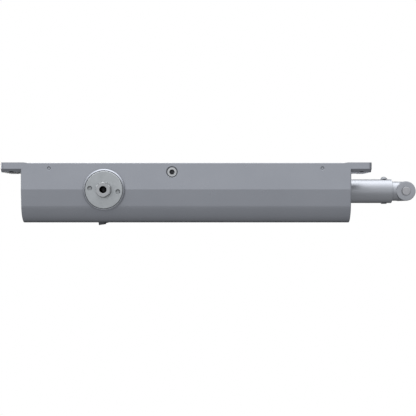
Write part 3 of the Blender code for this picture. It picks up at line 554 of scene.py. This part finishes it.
def build_housing():
    housing = body_blank()
    join(
        housing,
        lug(low("housing").x, BODY_LEFT),
        lug(high("housing").x, BODY_RIGHT),
        boss(-1),
        boss(1),
    )
    cutters = [
        bar("bore", BORE_R, BODY_LEFT - 5, BODY_RIGHT + 5, ALONG_X, BORE, FINE),
        pinion_bore(),
    ]
    for x in LUG_HOLES_X:
        for z in (-LUG_HOLE_Z, LUG_HOLE_Z):
            cutters.append(bar("screw_hole", SCREW_HOLE_R, -5, 14, ALONG_Y, (x, 0, z), SMALL))
    valve = middle("backcheck_valve")
    recess = [(0, -36), (5.6, -36), (5.6, -30.0), (5.3, -29.7)]
    recess += [(5.3, -27), (4.75, -27), (4.75, -17), (0, -17)]
    cutters.append(turned("valve_recess", recess, centre=(valve.x, valve.y, 0)))
    for node in ("sweep_valve", "latch_valve"):
        spot = middle(node)
        section = [(0, BODY_LEFT - 4), (3.8, BODY_LEFT - 4), (3.8, BODY_LEFT)]
        section += [(3.3, BODY_LEFT + 0.5), (3.3, BODY_LEFT + 14), (0, BODY_LEFT + 14)]
        cutters.append(turned(node + "_hole", section, ALONG_X, (0, spot.y, spot.z), SMALL))
    for node in ("gallery_plug_left", "gallery_plug_right"):
        spot = middle(node)
        section = [(0, -34), (1.8, -34), (1.8, -30), (1.55, -29.8), (1.55, -25), (0, -25)]
        cutters.append(turned(node + "_hole", section, centre=(spot.x, spot.y, 0), sides=SMALL))
    cut(housing, *cutters)

    def on_facet_line(point):
        return abs(point.y - FLAT_DEPTH) < 0.02 and abs(point.z) > HALF_HEIGHT - END_ROUND - 0.1

    def in_screw_hole(point):
        spot = (point.x, abs(point.z))
        nearest = min(math.dist(spot, (x, LUG_HOLE_Z)) for x in LUG_HOLES_X)
        return nearest < SCREW_HOLE_R + 0.1 and point.y < 9.2

    soften(housing, 0.35, creases=on_facet_line)
    fit(housing, "housing", BODY_PAINT, ["housing"])
    # Painted shade: the lug screw holes' walls are lined with near-black steel.
    line(housing, HOLE_SHADE_STEEL, in_screw_hole)


def build_end_plugs():
    """Blackened plugs with two spanner holes; the right one has the adjusting screw in it."""
    radius = 17.7
    length = 13
    pin_reach = 12.5
    for end, inward in (("left", 1), ("right", -1)):
        node = f"end_plug_{end}"
        outer = low(node).x if end == "left" else high(node).x
        hole = 5.3 if end == "right" else 0
        section = [
            (hole, outer + inward * (0.6 if hole else 1.2)),
            (hole + 0.6, outer) if hole else (4.0, outer + inward * 1.2),
            (hole + 0.7, outer) if hole else (4.6, outer),
            (radius - 1.0, outer),
            (radius, outer + inward),
            (radius, outer + inward * length),
            (hole, outer + inward * length),
        ]
        plug = turned(f"{node}_detail", section, ALONG_X, BORE, FINE, (outer, BORE[1], 0))
        holes = []
        for side in (-1, 1):
            centre = (0, BORE[1] + side * pin_reach, 0)
            start, stop = sorted((outer - inward * 4, outer + inward * 4))
            holes.append(bar("plug_pin", 1.9, start, stop, ALONG_X, centre, SMALL))
        cut(plug, *holes)
        soften(plug, 0.25)
        fit(plug, "housing", BLACK_STEEL, [node])
    head = high("spring_adjuster").x
    left = low("spring_adjuster").x
    collar = (213.0, 218.0)
    section = [(0, left), (4.0, left)]
    section += grooved(5.0, 0.6, left + 1, 205.0, 1.5)
    section += [(5.0, collar[0]), (9.0, collar[0]), (9.0, collar[1]), (5.0, collar[1])]
    section += [(5.0, head - 0.5), (4.5, head), (0, head)]
    origin = (head, middle("spring_adjuster").y, 0)
    adjuster = turned("spring_adjuster_detail", section, ALONG_X, BORE, ROUND, origin)
    cut(adjuster, prism("socket", hexagon(5.0), head - 5, head + 2, ALONG_X, BORE))
    soften(adjuster, 0.15)
    fit(adjuster, "adjuster", BLACK_STEEL, ["spring_adjuster"])


# ------------------------------------------------------ pinion, caps and valves


def build_pinion_caps():
    """Two slightly crowned caps, each with two blind spanner holes and a seal's lip."""
    tilt = math.radians(6.9)
    reach = 13.35
    crown = 0.26
    hub = 7.42
    rim = 17.2

    def in_spanner_hole(point):
        return 8 < math.dist(point.xy, PINION.xy) < 16 and 30.3 < abs(point.z) < 32.84

    for side, sign in (("near", -1), ("far", 1)):
        node = f"pinion_cap_{side}"
        top = sign * 33.0
        section = [
            (7.7, sign * 27.0),
            (17.8, sign * 27.0),
            (17.8, top - sign * 0.8),
            (17.6, top - sign * (crown + 0.25)),
        ]
        for step in range(5):
            out = 1 - step / 4
            section.append((hub + (rim - hub) * out, top - sign * crown * out**2))
        section += [(hub, top - sign * 1.6), (7.7, top - sign * 1.9)]
        origin = (PINION.x, PINION.y, top)
        cap = turned(f"{node}_detail", section, centre=PINION_CENTRE, sides=FINE, origin=origin)
        holes = []
        for turn in (tilt, tilt + math.pi):
            centre = (reach * math.cos(turn), PINION.y + reach * math.sin(turn), 0)
            depth = [(0, top + sign * 2), (2.25, top + sign * 2), (2.25, top - sign * 0.1)]
            depth += [(2.1, top - sign * 0.25), (2.1, top - sign * 2.6), (0, top - sign * 3.9)]
            holes.append(turned("spanner_hole", depth, centre=centre, sides=SMALL))
        cut(cap, *holes)
        soften(cap, 0.12, segments=2)
        fit(cap, "housing", CAP_METAL, [node])
        # Painted shade: the spanner holes are lined with near-black steel.
        line(cap, HOLE_SHADE_STEEL, in_spanner_hole)
        lip = [(7.34, top - sign * 3.4), (7.66, top - sign * 3.4)]
        lip += [(7.66, top - sign * 2.0), (7.34, top - sign * 2.4)]
        ring = turned(f"seal_lip_{side}", lip, centre=PINION_CENTRE)
        soften(ring, 0)
        fit(ring, "housing", RUBBER, [])


def hex_end(name, sign, tip):
    """One hexagon end of the pinion, with its corners turned down to a cone at the tip."""
    root = 33.0
    start, stop = sorted((sign * root, sign * tip))
    stock = prism(name, hexagon(HEX_FLATS, math.pi / 2), start, stop, centre=PINION_CENTRE)
    corner = HEX_FLATS / 2 / math.cos(math.pi / 6)
    section = [
        (0, sign * (root - 1)),
        (corner - 0.1, sign * (root - 1)),
        (corner - 0.1, sign * (tip - 0.5)),
        (HEX_FLATS / 2 + 0.1, sign * tip),
        (0, sign * tip),
    ]
    cone = turned("cone", section, centre=PINION_CENTRE, sides=FINE)
    return use(stock, 'INTERSECT', [cone])


def gear_outline():
    """The pinion's twelve teeth, with rounded flanks."""
    teeth = 12
    root = 7.3
    tip = 10.4
    points = []
    for tooth in range(teeth):
        centre = -math.pi / 2 + 2 * math.pi * tooth / teeth
        flank = [(1.25 / root, root), (1.02 / 8.3, 8.2), (0.76 / 9.2, 9.2), (0.40 / tip, tip)]
        for half, radius in flank:
            points.append((radius * math.cos(centre - half), radius * math.sin(centre - half)))
        for half, radius in reversed(flank):
            points.append((radius * math.cos(centre + half), radius * math.sin(centre + half)))
    return points


def build_pinion():
    """Shaft, teeth and two hexagon ends, each with a tapped hole."""
    tip = high("pinion").z
    shaft = [(0, -SHAFT_END), (7.1, -SHAFT_END), (7.3, 0.2 - SHAFT_END)]
    shaft += [(radius, -height) for radius, height in reversed(shaft)]
    pinion = turned("pinion_detail", shaft, centre=PINION_CENTRE, sides=FINE, origin=tuple(PINION))
    join(
        pinion,
        prism("teeth", gear_outline(), -12, 12, centre=PINION_CENTRE),
        hex_end("hex_near", -1, tip),
        hex_end("hex_far", 1, tip),
    )
    holes = []
    for sign in (-1, 1):
        mouth = sign * tip
        section = [(0, mouth + sign * 2), (3.6, mouth + sign * 2)]
        section += [(3.6, mouth), (3.3, mouth - sign * 0.3)]
        section += grooved(3.3, -0.35, mouth - sign * 1.2, mouth - sign * 12.0, THREAD_PITCH)
        section += [(2.7, mouth - sign * 13.0), (0, mouth - sign * 14.0)]
        holes.append(turned("tapped_hole", section, centre=PINION_CENTRE, sides=SMALL))
    cut(pinion, *holes)

    def in_tapped_hole(point):
        return math.dist(point.xy, PINION.xy) < 3.7 and abs(point.z) < tip - 0.25

    soften(pinion, 0.15)
    fit(pinion, "main_arm", HEX_METAL, ["pinion"])
    # Painted shade: the tapped hole is lined with near-black steel.
    line(pinion, HOLE_SHADE_STEEL, in_tapped_hole)


def build_valves():
    """Three valve screws with hexagon sockets and two painted-over gallery plugs."""
    spot = middle("backcheck_valve")
    face = low("backcheck_valve").z
    inner = high("backcheck_valve").z
    section = [(0, face), (4.3, face), (4.6, face + 0.3)]
    section += [(4.6, inner - 0.5), (3.8, inner), (0, inner)]
    centre = (spot.x, spot.y, 0)
    origin = (spot.x, spot.y, face)
    valve = turned("backcheck_valve_detail", section, centre=centre, origin=origin)
    cut(valve, prism("socket", hexagon(4.6), face - 2, face + 3, centre=centre))
    soften(valve, 0.12)
    fit(valve, "backcheck", VALVE_METAL, ["backcheck_valve"])
    # Painted shade: the valve's hexagon socket is lined with near-black steel.
    line(valve, HOLE_SHADE_STEEL, lambda point: math.dist(point.xy, (spot.x, spot.y)) < 2.8)
    for node, body in (("sweep_valve", "sweep"), ("latch_valve", "latch")):
        spot = middle(node)
        face = low(node).x
        inner = high(node).x
        section = [(0, face), (2.7, face), (3.0, face + 0.3)]
        section += [(3.0, inner - 2), (2.0, inner), (0, inner)]
        centre = (0, spot.y, spot.z)
        valve = turned(f"{node}_detail", section, ALONG_X, centre, SMALL, (face, spot.y, spot.z))
        cut(valve, prism("socket", hexagon(2.5), face - 2, face + 2.5, ALONG_X, centre))
        soften(valve, 0.1)
        fit(valve, body, BRASS, [node])
    for node in ("gallery_plug_left", "gallery_plug_right"):
        spot = middle(node)
        face = low(node).z
        inner = high(node).z
        section = [(0, face + 0.15), (0.7, face + 0.05), (1.2, face)]
        section += [(1.4, face + 0.2), (1.4, inner), (0, inner)]
        plug = turned(f"{node}_detail", section, centre=(spot.x, spot.y, 0), sides=SMALL)
        soften(plug, 0)
        fit(plug, "housing", BODY_PAINT, [node])


# ------------------------------------------------------------------- main arm


def cross_rivet(node, body):
    """Domed head on the door side, a flatter upset end on the room side."""
    spot = middle(node)
    seat = 12.2
    dome = 2.4
    head = 3.6
    curve = (head**2 + dome**2) / (2 * dome)
    rim = math.asin(head / curve)
    steps = 8
    section = [(0, -seat - dome)]
    for step in range(1, steps + 1):
        angle = rim * step / steps
        section.append((curve * math.sin(angle), curve * (1 - math.cos(angle)) - seat - dome))
    section += [(2.5, -seat), (2.5, seat), (3.0, seat)]
    section += [(3.0, seat + 0.3), (2.6, seat + 0.6), (0, seat + 0.7)]
    centre = (spot.x, PINION.y, ARM_Z)
    rivet = turned(f"{node}_detail", section, ALONG_Y, centre, SMALL, centre)
    soften(rivet, 0)
    fit(rivet, body, RIVET_STEEL, [node])


def rivet_hole(node):
    return bar("rivet_hole", RIVET_HOLE_R, -20, 20, ALONG_Y, (middle(node).x, PINION.y, ARM_Z), SMALL)


def build_arm_hub():
    """The hub on the pinion's far hexagon, with the spigot that the tube is riveted to."""
    bottom = low("arm_hub").z
    top = high("arm_hub").z
    rim = 1.4
    radius = 17.0
    section = [(0, bottom), (radius - rim, bottom), (radius, bottom + rim)]
    section += [(radius, top - 2.2), (16.3, top - 0.8), (15.2, top), (0, top)]
    origin = (PINION.x, PINION.y, ARM_Z)
    hub = turned("arm_hub_detail", section, centre=PINION_CENTRE, sides=FINE, origin=origin)
    join(hub, bar("spigot", ARM_ROD_R, 9.0, 48.0, ALONG_X, (0, PINION.y, ARM_Z)))
    counterbore = [(0, 50.0), (7.5, 50.0), (7.5, top - 0.6), (8.1, top), (8.1, top + 3), (0, top + 3)]
    cut(
        hub,
        prism("hex_socket", hexagon(13.3, math.pi / 2), bottom - 3, 42.2, centre=PINION_CENTRE),
        turned("counterbore", counterbore, centre=PINION_CENTRE),
        bar("bolt_hole", 3.3, 40.0, 52.0, ALONG_Z, PINION_CENTRE, SMALL),
        rivet_hole("hub_rivet"),
    )
    soften(hub, 0.3)
    fit(hub, "main_arm", ARM_PAINT, ["arm_hub"])


def build_arm_tube():
    left = low("arm_tube").x
    right = high("arm_tube").x
    outer = 12.0
    inner = 10.0
    section = [(inner, left + 0.4), (inner + 0.5, left), (outer - 0.4, left), (outer, left + 0.4)]
    section += [(outer, right - 0.25), (outer - 0.25, right), (inner + 0.2, right), (inner, right - 0.2)]
    along = (0, PINION.y, ARM_Z)
    tube = turned("arm_tube_detail", section, ALONG_X, along, FINE, along)
    cut(tube, rivet_hole("hub_rivet"), rivet_hole("elbow_rivet"))
    soften(tube, 0)
    fit(tube, "main_arm", ARM_PAINT, ["arm_tube"])


def eye(name, centre, bottom, top, origin):
    """A barrel with rounded rims, which the pin goes through."""
    rim = 0.9
    section = [(0, bottom), (EYE_R - rim, bottom)]
    section += [(EYE_R - rim * 0.3, bottom + rim * 0.3), (EYE_R, bottom + rim)]
    section += [(EYE_R, top - rim), (EYE_R - rim * 0.3, top - rim * 0.3), (EYE_R - rim, top), (0, top)]
    return turned(name, section, centre=centre, sides=FINE, origin=origin)


def pin_hole(centre, bottom, top):
    """A cutter for a pin's hole, with both mouths chamfered."""
    section = [(0, bottom - 2), (4.1, bottom - 2), (4.1, bottom), (3.6, bottom + 0.5), (3.6, top - 0.5)]
    section += [(4.1, top), (4.1, top + 2), (0, top + 2)]
    return turned("pin_hole", section, centre=centre)


def build_elbow():
    """The fitting at the end of the main arm, and its pin."""
    centre = (ELBOW.x, ELBOW.y, 0)
    bottom = low("elbow_fitting").z
    top = high("elbow_fitting").z
    fitting = eye("elbow_fitting_detail", centre, bottom, top, (ELBOW.x, ELBOW.y, ARM_Z))
    along = (0, ELBOW.y, ARM_Z)
    shoulder = (0, ELBOW.y, ARM_Z - 0.7)
    tube_end = high("arm_tube").x
    join(
        fitting,
        bar("elbow_rod", ARM_ROD_R, low("elbow_fitting").x, ELBOW.x, ALONG_X, along, FINE),
        bar("elbow_shoulder", ARM_ROD_R, tube_end + 0.2, ELBOW.x - 7.4, ALONG_X, shoulder, FINE),
    )
    hole = [(0, bottom - 2), (4.4, bottom - 2), (4.4, bottom + 0.2), (3.6, bottom + 0.2)]
    hole += [(3.6, top - 0.5), (4.1, top), (4.1, top + 2), (0, top + 2)]
    cut(
        fitting,
        turned("pin_hole", hole, centre=centre),
        rivet_hole("elbow_rivet"),
    )
    soften(fitting, 0.25)
    fit(fitting, "main_arm", ARM_PAINT, ["elbow_fitting"])

    near = low("elbow_pin").z
    far = high("elbow_pin").z
    seat = far - 2.6
    section = [(0, near + 0.1), (2.6, near + 0.1), (3.8, near), (4.2, near + 0.2), (4.2, near + 1.0)]
    section += [(3.3, near + 1.0), (3.3, seat), (7.0, seat), (7.0, far - 1.3), (6.5, far - 0.5)]
    section += [(5.4, far), (0, far)]
    origin = (ELBOW.x, ELBOW.y, near)
    pin = turned("elbow_pin_detail", section, centre=centre, origin=origin)
    soften(pin, 0.12)
    fit(pin, "main_arm", PLAIN_STEEL, ["elbow_pin"])


def washer(node, body, inner, outer, centre, material):
    """A flat ring that fills its CAD node's height."""
    bottom = low(node).z
    top = high(node).z
    rim = 0.25
    section = [(inner, bottom), (outer - rim, bottom), (outer, bottom + rim)]
    section += [(outer, top - rim), (outer - rim, top), (inner, top)]
    origin = (centre[0], centre[1], bottom)
    ring = turned(f"{node}_detail", section, centre=centre, origin=origin)
    soften(ring, 0)
    fit(ring, body, material, [node])


def build_arm_screw():
    bottom = low("arm_screw").z
    top = high("arm_screw").z
    seat = 52.1
    section = [(0, bottom), (2.4, bottom)]
    section += grooved(3.0, 0.35, bottom + 0.8, 44.0, THREAD_PITCH)
    section += [(3.0, seat), (5.0, seat), (5.0, top - 0.6), (4.6, top), (0, top)]
    origin = (PINION.x, PINION.y, top)
    screw = turned("arm_screw_detail", section, centre=PINION_CENTRE, origin=origin)
    cut(screw, prism("socket", hexagon(5.0), top - 3, top + 3, centre=PINION_CENTRE))
    soften(screw, 0.15)
    fit(screw, "main_arm", BLACK_STEEL, ["arm_screw"])


# -------------------------------------------------------------------- forearm


def build_forearm():
    """The elbow's upper eye with its threaded rod."""
    centre = (ELBOW.x, ELBOW.y, 0)
    bottom = low("forearm_rod").z
    top = high("forearm_rod").z
    along = (0, ELBOW.y, FOREARM_Z)
    rod_left = low("forearm_rod").x
    thread_end = 262.0
    rod_right = ELBOW.x - 4
    rod_r = 6.5
    neck_r = 8.0
    lever = eye("forearm_rod_detail", centre, bottom, top, (ELBOW.x, ELBOW.y, FOREARM_Z))
    section = [(0, rod_left), (5.4, rod_left)]
    section += grooved(rod_r, 0.7, rod_left + 1, thread_end, 1.75)
    section += [(rod_r, thread_end + 1), (rod_r, rod_right - 9)]
    section += [(neck_r, rod_right - 4), (neck_r, rod_right), (0, rod_right)]
    join(lever, turned("rod", section, ALONG_X, along))
    cut(lever, pin_hole(centre, bottom, top))
    soften(lever, 0.15, segments=2)
    fit(lever, "forearm", ROD_METAL, ["forearm_rod"])


def build_sleeve():
    """The tube that slides on the threaded rod, with the foot's eye, and its clamp screw."""
    centre = (FOOT_PIVOT.x, FOOT_PIVOT.y, 0)
    bottom = low("forearm_sleeve").z
    top = high("forearm_sleeve").z
    right = high("forearm_sleeve").x
    along = (0, FOOT_PIVOT.y, FOREARM_Z)
    clamp = (middle("clamp_screw").x, FOOT_PIVOT.y, FOREARM_Z)
    sleeve = eye("forearm_sleeve_detail", centre, bottom, top, tuple(FOOT_PIVOT))
    left = FOOT_PIVOT.x + 4
    section = [(0, left), (8.6, left), (8.6, left + 14), (9.4, left + 20)]
    section += [(9.4, right - 0.8), (8.8, right), (0, right)]
    clamp_boss = [(0, 7.9), (6.4, 7.9), (6.0, 9.6), (6.0, 12.3), (5.4, 12.9), (0, 12.9)]
    join(
        sleeve,
        turned("sleeve", section, ALONG_X, along),
        turned("clamp_boss", clamp_boss, ALONG_Y, clamp),
    )
    bore = [(0, 60.0), (6.8, 63.0), (6.8, right - 0.8), (7.6, right), (7.6, right + 4), (0, right + 4)]
    cut(
        sleeve,
        turned("bore", bore, ALONG_X, along),
        pin_hole(centre, bottom, top),
        bar("clamp_hole", 3.3, 4.5, 16, ALONG_Y, clamp, SMALL),
    )
    soften(sleeve, 0.3)
    fit(sleeve, "sleeve", ARM_PAINT, ["forearm_sleeve"])

    seat = 13.2
    section = [(0, 6.8), (2.4, 6.8)] + grooved(3.0, 0.35, 7.6, 12.0, THREAD_PITCH)
    section += [(3.0, seat), (5.2, seat), (5.2, seat + 3.2), (4.6, seat + 4.0), (0, seat + 4.0)]
    screw = turned("clamp_screw_detail", section, ALONG_Y, clamp, ROUND, clamp)
    cut(screw, prism("socket", hexagon(5.0), seat + 1.2, seat + 8, ALONG_Y, clamp))
    soften(screw, 0.15)
    fit(screw, "clamp", BLACK_STEEL, ["clamp_screw"])


# ----------------------------------------------------------------------- foot

FOOT_TURN = math.radians(8.3)
FOOT_HALF = 30.0
FOOT_LEG_HALF = 29.1
FOOT_STANDOFF = 34.0
FOOT_THICK = 5.0


def foot_point(along, out, z=0.0):
    """A point of the foot: along its base plate, and out from the pivot towards it."""
    x = FOOT_PIVOT.x + along * math.sin(FOOT_TURN) - out * math.cos(FOOT_TURN)
    y = FOOT_PIVOT.y + along * math.cos(FOOT_TURN) + out * math.sin(FOOT_TURN)
    return x, y, z


def build_foot():
    """A bent angle bracket, cut to a tapering leg round the pivot."""
    bottom = low("foot_bracket").z
    top = high("foot_bracket").z
    inner_round = 2.0
    outer_round = inner_round + FOOT_THICK
    bend = (FOOT_STANDOFF - outer_round, top - outer_round)
    leg_end = -14
    profile = [(leg_end, top - FOOT_THICK), (leg_end, top)]
    profile += arc(bend, outer_round, 90, 0, 10)
    profile += [(FOOT_STANDOFF, bottom), (FOOT_STANDOFF - FOOT_THICK, bottom)]
    profile += arc(bend, inner_round, 0, 90, 6)
    loops = [[foot_point(along, out, z) for out, z in profile] for along in (-FOOT_HALF, FOOT_HALF)]
    bracket = loft("foot_bracket_detail", loops, tuple(FOOT_PIVOT))
    eye_r = 11.5
    plate_inner = FOOT_STANDOFF - FOOT_THICK - 0.2
    shoulder = plate_inner - 3.8
    edge = [(FOOT_LEG_HALF - 0.4, shoulder), (FOOT_LEG_HALF, plate_inner)]
    edge += [(FOOT_HALF, plate_inner), (FOOT_HALF, FOOT_STANDOFF + 1)]
    plan = [(-along, out) for along, out in reversed(edge)]
    plan += arc((0, 0), eye_r, 215, 323, 18)
    plan += edge
    loops = [[foot_point(along, out, z) for along, out in plan] for z in (bottom - 5, top + 5)]
    use(bracket, 'INTERSECT', [loft("foot_plan", loops)])
    outward = Matrix.Rotation(-FOOT_TURN, 3, 'Z') @ ALONG_X
    hole_z = (bottom + top - FOOT_THICK) / 2 - 0.8
    centre = (FOOT_PIVOT.x, FOOT_PIVOT.y, 0)
    cutters = [bar("foot_pin_hole", 3.6, top - 9, top + 3, ALONG_Z, centre, SMALL)]
    for reach in (-20.0, 20.0):
        spot = foot_point(reach, FOOT_STANDOFF, hole_z)
        cutters.append(bar("foot_screw_hole", SCREW_HOLE_R, -8, 12, outward, spot, SMALL))
    cut(bracket, *cutters)
    soften(bracket, 0.45)
    # The foot's darkened paint is painted shade.
    fit(bracket, "foot", SHADED_FOOT_PAINT, ["foot_bracket"])

    bottom = low("foot_pin").z
    top = high("foot_pin").z
    seat = top - 2.6
    section = [(0, bottom), (2.8, bottom), (3.3, bottom + 0.5), (3.3, seat), (6.2, seat)]
    section += [(6.2, top - 1.2), (5.6, top - 0.5), (4.6, top), (0, top)]
    origin = (FOOT_PIVOT.x, FOOT_PIVOT.y, top)
    pin = turned("foot_pin_detail", section, centre=centre, origin=origin)
    soften(pin, 0.12)
    fit(pin, "foot", PLAIN_STEEL, ["foot_pin"])
    washer("foot_washer", "foot", 3.6, 8.0, centre, PLAIN_STEEL)


# ---------------------------------------------------------------- inner pieces


def build_closing_spring():
    """The helix, in two stretches that meet at a plane fixed in the housing.

    Neither stretch is hung on a body, so both stay as built.
    """
    wire_r = 2.4
    coil_r = 14.2
    turns = 13
    closed = 1
    joint_turn = 9
    left = low("closing_spring").x + wire_r
    right = high("closing_spring").x - wire_r
    gap = 0.3
    closed_rise = 2 * wire_r + gap
    open_pitch = (right - left - 2 * closed * closed_rise) / (turns - 2 * closed)

    def reach(turn):
        """How far along the body the wire has come after so many turns."""
        opened = min(max(turn - closed, 0), turns - 2 * closed)
        ends = min(turn, closed) + max(turn - turns + closed, 0)
        return left + ends * closed_rise + opened * open_pitch

    def stretch(name, first, last, start_body, end_body, blend_from, blend_to):
        per_turn = 40
        wire_sides = 14
        loops = []
        for step in range(first * per_turn, last * per_turn + 1):
            angle = 2 * math.pi * step / per_turn
            loop = []
            for side in range(wire_sides):
                around = 2 * math.pi * side / wire_sides
                radius = coil_r + wire_r * math.cos(around)
                x = reach(step / per_turn) + wire_r * math.sin(around)
                loop.append((x, BORE[1] + radius * math.cos(angle), radius * math.sin(angle)))
            loops.append(loop)
        piece = loft(name, loops)
        soften(piece, 0)
        piece.data.materials.append(ROD_METAL)
        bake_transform(piece)
        return piece

    long_blend = (closed, joint_turn)
    long_stretch = stretch("closing_spring_detail", 0, joint_turn, "piston_set", "housing", *long_blend)
    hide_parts("closing_spring")
    stretch("closing_spring_end", joint_turn, turns, "housing", "seat", joint_turn, turns - closed)


def dress_inner_nodes():
    """The CAD nodes inside the body keep their shape and get their real materials."""
    finishes = {
        "piston": PLAIN_STEEL,
        "piston_ring": BLACK_STEEL,
        "ball_retainer": BLACK_STEEL,
        "check_ball": BRIGHT_METAL,
        "spring_seat": PLAIN_STEEL,
        "pinion_bearing_near": BRIGHT_METAL,
        "pinion_bearing_far": BRIGHT_METAL,
        "shaft_seal_near": RUBBER,
        "shaft_seal_far": RUBBER,
        "end_seal_left": RUBBER,
        "end_seal_right": RUBBER,
    }
    for node, material in finishes.items():
        dress(frame["nodes"][node], material)


# --------------------------------------------------------------------- studio

# Brightness of the surroundings at angles round the body's long axis, in degrees.
SURROUNDINGS = [(-180, 0.10), (180, 0.10)]
SURROUNDINGS += [(-144, 0.05), (-130, 0.10), (-118, 0.25), (-98, 0.29), (-86, 0.355)]
SURROUNDINGS += [(-60, 0.39), (-17, 0.415), (-4, 0.93), (18, 0.75), (40, 1.08)]
SURROUNDINGS += [(62, 1.85), (86, 2.60), (112, 3.10), (126, 0.80), (138, 0.15)]
LEFT_END = 0.42
RIGHT_END = 0.25
FLOOR_LEVEL = -1500


def glow_material(name):
    """Plain white that gives off its own light."""
    material = bpy.data.materials.new(name)
    material.use_nodes = True
    nodes = material.node_tree.nodes
    nodes.clear()
    glow = nodes.new("ShaderNodeEmission")
    glow.inputs["Color"].default_value = (1, 1, 1, 1)
    glow.inputs["Strength"].default_value = 1.0
    output = nodes.new("ShaderNodeOutputMaterial")
    material.node_tree.links.new(glow.outputs["Emission"], output.inputs["Surface"])
    return material


def build_backdrop():
    """A white shell that only the camera sees, and a pale floor far below the object."""
    shape = bmesh.new()
    bmesh.ops.create_icosphere(shape, subdivisions=4, radius=4000)
    shell = finish_mesh("backdrop_shell", shape)
    shell.data.materials.append(glow_material("backdrop_white"))
    shell.visible_diffuse = False
    shell.visible_glossy = False
    shell.visible_transmission = False
    shell.visible_shadow = False
    shape = bmesh.new()
    bmesh.ops.create_circle(shape, cap_ends=True, segments=96, radius=3000)
    floor = finish_mesh("floor", shape)
    floor.location.z = FLOOR_LEVEL * MM
    paper = Shader("floor_paper", 0.0, 0.8)
    tone = paper.ramp(paper.noise(6, 3), [(0.3, (0.86, 0.86, 0.86)), (0.7, (0.90, 0.90, 0.90))])
    paper.link(tone, paper.surface.inputs["Base Color"])
    floor.data.materials.append(paper.material)
    floor.visible_glossy = False
    floor.visible_diffuse = False
    floor.visible_shadow = False


def build_world():
    """Soft surroundings whose brightness follows the angle round the body's long axis.

    Zero is straight below the pinion, positive angles go towards the door side
    and 180 degrees is overhead.  Towards the two ends of that axis they blend
    into one brightness each.
    """
    world = bpy.data.worlds.new("studio")
    bpy.context.scene.world = world
    world.use_nodes = True
    tree = world.node_tree

    def calculate(operation, first, second):
        node = tree.nodes.new("ShaderNodeMath")
        node.operation = operation
        for socket, value in zip(node.inputs, (first, second)):
            if isinstance(value, (int, float)):
                socket.default_value = value
            else:
                tree.links.new(value, socket)
        return node.outputs["Value"]

    def ramp(share, stops):
        node = tree.nodes.new("ShaderNodeValToRGB")
        tree.links.new(share, node.inputs["Fac"])
        for index, (position, level) in enumerate(stops):
            elements = node.color_ramp.elements
            stop = elements[index] if index < 2 else elements.new(position)
            stop.position = position
            stop.color = (level * 0.975, level * 0.99, level * 1.03, 1)
        return node.outputs["Color"]

    direction = tree.nodes.new("ShaderNodeTexCoord")
    split = tree.nodes.new("ShaderNodeSeparateXYZ")
    tree.links.new(direction.outputs["Generated"], split.inputs["Vector"])
    doorward = calculate('MULTIPLY', split.outputs["Y"], -1.0)
    downward = calculate('MULTIPLY', split.outputs["Z"], -1.0)
    angle = calculate('ARCTAN2', doorward, downward)
    turn = calculate('ADD', calculate('DIVIDE', angle, 2 * math.pi), 0.5)
    around = ramp(turn, [(degrees / 360 + 0.5, level) for degrees, level in SURROUNDINGS])
    sideways = calculate('ADD', calculate('MULTIPLY', split.outputs["X"], 0.5), 0.5)
    ends = ramp(sideways, [(0.3, LEFT_END), (0.7, RIGHT_END)])
    mix = tree.nodes.new("ShaderNodeMix")
    mix.data_type = 'RGBA'
    tree.links.new(calculate('POWER', split.outputs["X"], 4.0), mix.inputs["Factor"])
    tree.links.new(around, mix.inputs["A"])
    tree.links.new(ends, mix.inputs["B"])
    tree.links.new(mix.outputs["Result"], tree.nodes["Background"].inputs["Color"])


def area_light(name, place_mm, power):
    """A square light that faces the object."""
    data = bpy.data.lights.new(name, 'AREA')
    data.shape = 'RECTANGLE'
    data.size = 900 * MM
    data.size_y = 900 * MM
    data.energy = power
    light = bpy.data.objects.new(name, data)
    bpy.context.scene.collection.objects.link(light)
    light.location = Vector(place_mm) * MM
    aim_mm = (80, 28, 20)
    towards = (Vector(aim_mm) - Vector(place_mm)).normalized()
    light.rotation_mode = 'QUATERNION'
    light.rotation_quaternion = towards.to_track_quat('-Z', 'Y')
    light.visible_camera = False


def build_camera():
    data = bpy.data.cameras.new("camera")
    camera = bpy.data.objects.new("camera", data)
    bpy.context.scene.collection.objects.link(camera)
    data.lens = 92.0
    data.sensor_width = 36.0
    data.clip_start = 0.05
    data.clip_end = 20.0
    camera.location = Vector((97.8, 42.9, -1030.0)) * MM
    camera.rotation_euler = (math.pi, 0, 0)
    bpy.context.scene.camera = camera
    bpy.context.scene.view_settings.view_transform = 'Standard'


build_camera()
build_world()
area_light("top_key", (-500, -400, 1200), 10)
area_light("left_fill", (-1100, -300, 300), 3)
build_backdrop()
build_housing()
build_end_plugs()
build_pinion_caps()
build_pinion()
build_valves()
build_arm_hub()
build_arm_tube()
cross_rivet("hub_rivet", "main_arm")
cross_rivet("elbow_rivet", "main_arm")
build_elbow()
washer("elbow_washer", "main_arm", 3.6, 8.4, (ELBOW.x, ELBOW.y, 0), BRASS)
washer("arm_washer", "main_arm", 3.3, 7.0, PINION_CENTRE, PLAIN_STEEL)
build_arm_screw()
build_forearm()
build_sleeve()
build_foot()
build_closing_spring()
dress_inner_nodes()
